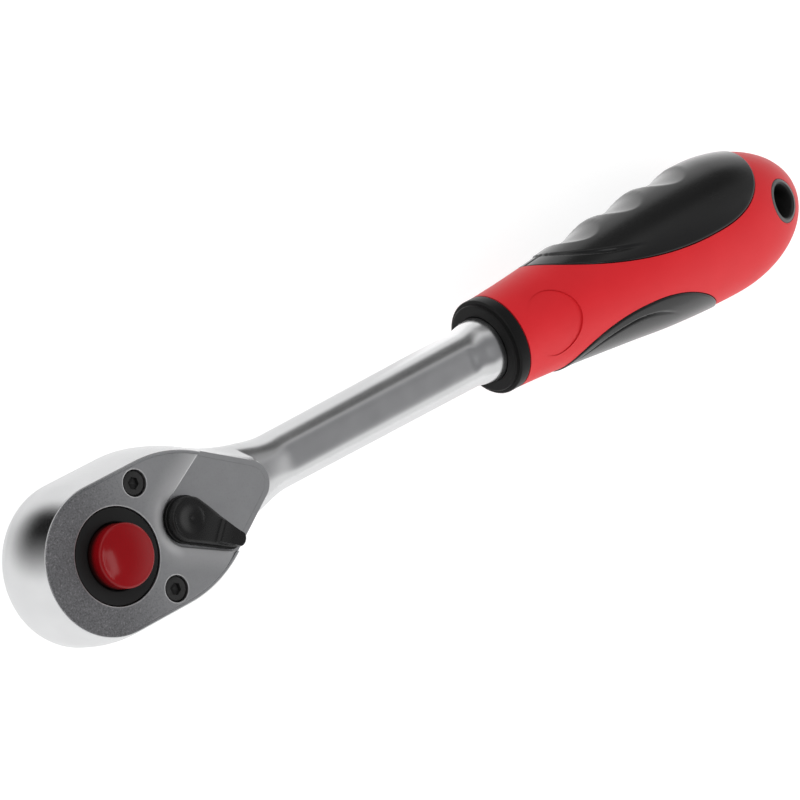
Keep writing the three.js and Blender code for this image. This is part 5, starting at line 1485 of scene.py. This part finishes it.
# %% Studio
DOORWAYS = (((0.575, 0.791, 0.208), 0.86), ((0.750, 0.545, 0.375), 0.62))
world = bpy.data.worlds.new("studio")
bpy.context.scene.world = world
w = Finish(world)
toward = w.add("ShaderNodeTexCoord", output="Generated")
rise = w.add("ShaderNodeSeparateXYZ", None, {0: toward}, "Z")
overhead = w.ramp(rise, 0.45, 0.86)
dome = w.blend(overhead, grey(1.0), grey(0.26, (1, 1, 1.03)))
for aside, depth in DOORWAYS:
    doorway = w.add("ShaderNodeVectorMath", {"operation": "DOT_PRODUCT"}, {0: toward, 1: aside}, "Value")
    dome = w.blend(w.ramp(doorway, 0.90, 0.985) * depth, dome, grey(0.06))
sky = w.add("ShaderNodeBackground", None, {"Color": dome, "Strength": 1.0})
w.add("ShaderNodeOutputWorld", None, {"Surface": sky})
print("studio with", len(DOORWAYS), "dark doorways")


# %% Soft boxes
def soft_box(name, place, aim, width, height, watts, mirrored=False):
    lamp = bpy.data.lights.new(name, "AREA")
    lamp.shape, lamp.size, lamp.size_y, lamp.energy = "RECTANGLE", width, height, watts
    box = bpy.data.objects.new(name, lamp)
    box.location = place
    box.rotation_euler = (Vector(aim) - Vector(place)).to_track_quat("-Z", "Y").to_euler()
    box.visible_glossy = mirrored
    bpy.context.scene.collection.objects.link(box)
    print(name, watts, "W")


middle = (0.09, 0, 0.03)
soft_box("side_box", (-0.25, 0.75, 0.75), middle, 1.0, 0.8, 6.0)
soft_box("far_box", (0.7, -0.5, 0.5), middle, 0.9, 0.7, 2.5)
soft_box("fill_box", (0.35, -0.9, 0.45), middle, 0.9, 0.6, 5.0)
soft_box("window_box", (0.152, -0.142, 0.835), (0.152, -0.142, 0), 0.12, 0.34, 0.3, mirrored=True)

# %% [markdown]
# ## A black flag
# The nose of the photographed head mirrors something dark that stands beside it. A studio gets that with a
# black card: here a small curtain that fades out at its sides and top, and that only mirrors can see.

# %% Flag
FLAG_HEIGHT, FLAG_AWAY, FLAG_LEFT, FLAG_RIGHT = 40, 30, -40, 32
flag_out, flag_along = np.array((-0.643, 0.766)), np.array((0.766, 0.643))
flag_points, flag_shade, flag_faces = [], [], []
columns, rows = 37, 21
for j, height in enumerate(np.linspace(0, FLAG_HEIGHT, rows)):
    for i, across in enumerate(np.linspace(FLAG_LEFT, FLAG_RIGHT, columns)):
        x, y = flag_out * FLAG_AWAY + flag_along * across + (NOSE_X, 0)
        flag_points.append((x * MM, y * MM, height * MM))
        sides = (1 - smoothstep(across, 8, 28)) * (1 - smoothstep(-across, -2, 36))
        flag_shade.append(sides * smoothstep(height, -4, 20) * (1 - smoothstep(height, 32, FLAG_HEIGHT)))
        if i and j:
            last = j * columns + i
            flag_faces.append((last - columns - 1, last - columns, last, last - 1))
flag_mesh = bpy.data.meshes.new("flag")
flag_mesh.from_pydata(flag_points, [], flag_faces)
write_mark(flag_mesh, "shade", flag_shade)
f = new_finish("flag_black")
cloth = f.add("ShaderNodeBsdfDiffuse", None, {"Color": grey(0.015)})
curtain = f.add("ShaderNodeMixShader", None, {0: f.mark("shade"), 1: f.add("ShaderNodeBsdfTransparent"), 2: cloth})
f.add("ShaderNodeOutputMaterial", None, {"Surface": curtain})
flag_mesh.materials.append(f.owner)
flag = bpy.data.objects.new("flag", flag_mesh)
bpy.context.scene.collection.objects.link(flag)
flag.visible_camera, flag.visible_diffuse, flag.visible_shadow = False, False, False
bpy.context.scene.view_settings.view_transform = "Standard"
print("flag", FLAG_RIGHT - FLAG_LEFT, "by", FLAG_HEIGHT, "mm")

# %% [markdown]
# ## Size
# The finer pieces are made to stay inside the box of the solids; at the end the scene is brought up to date.

# %% Size
bpy.context.view_layer.update()
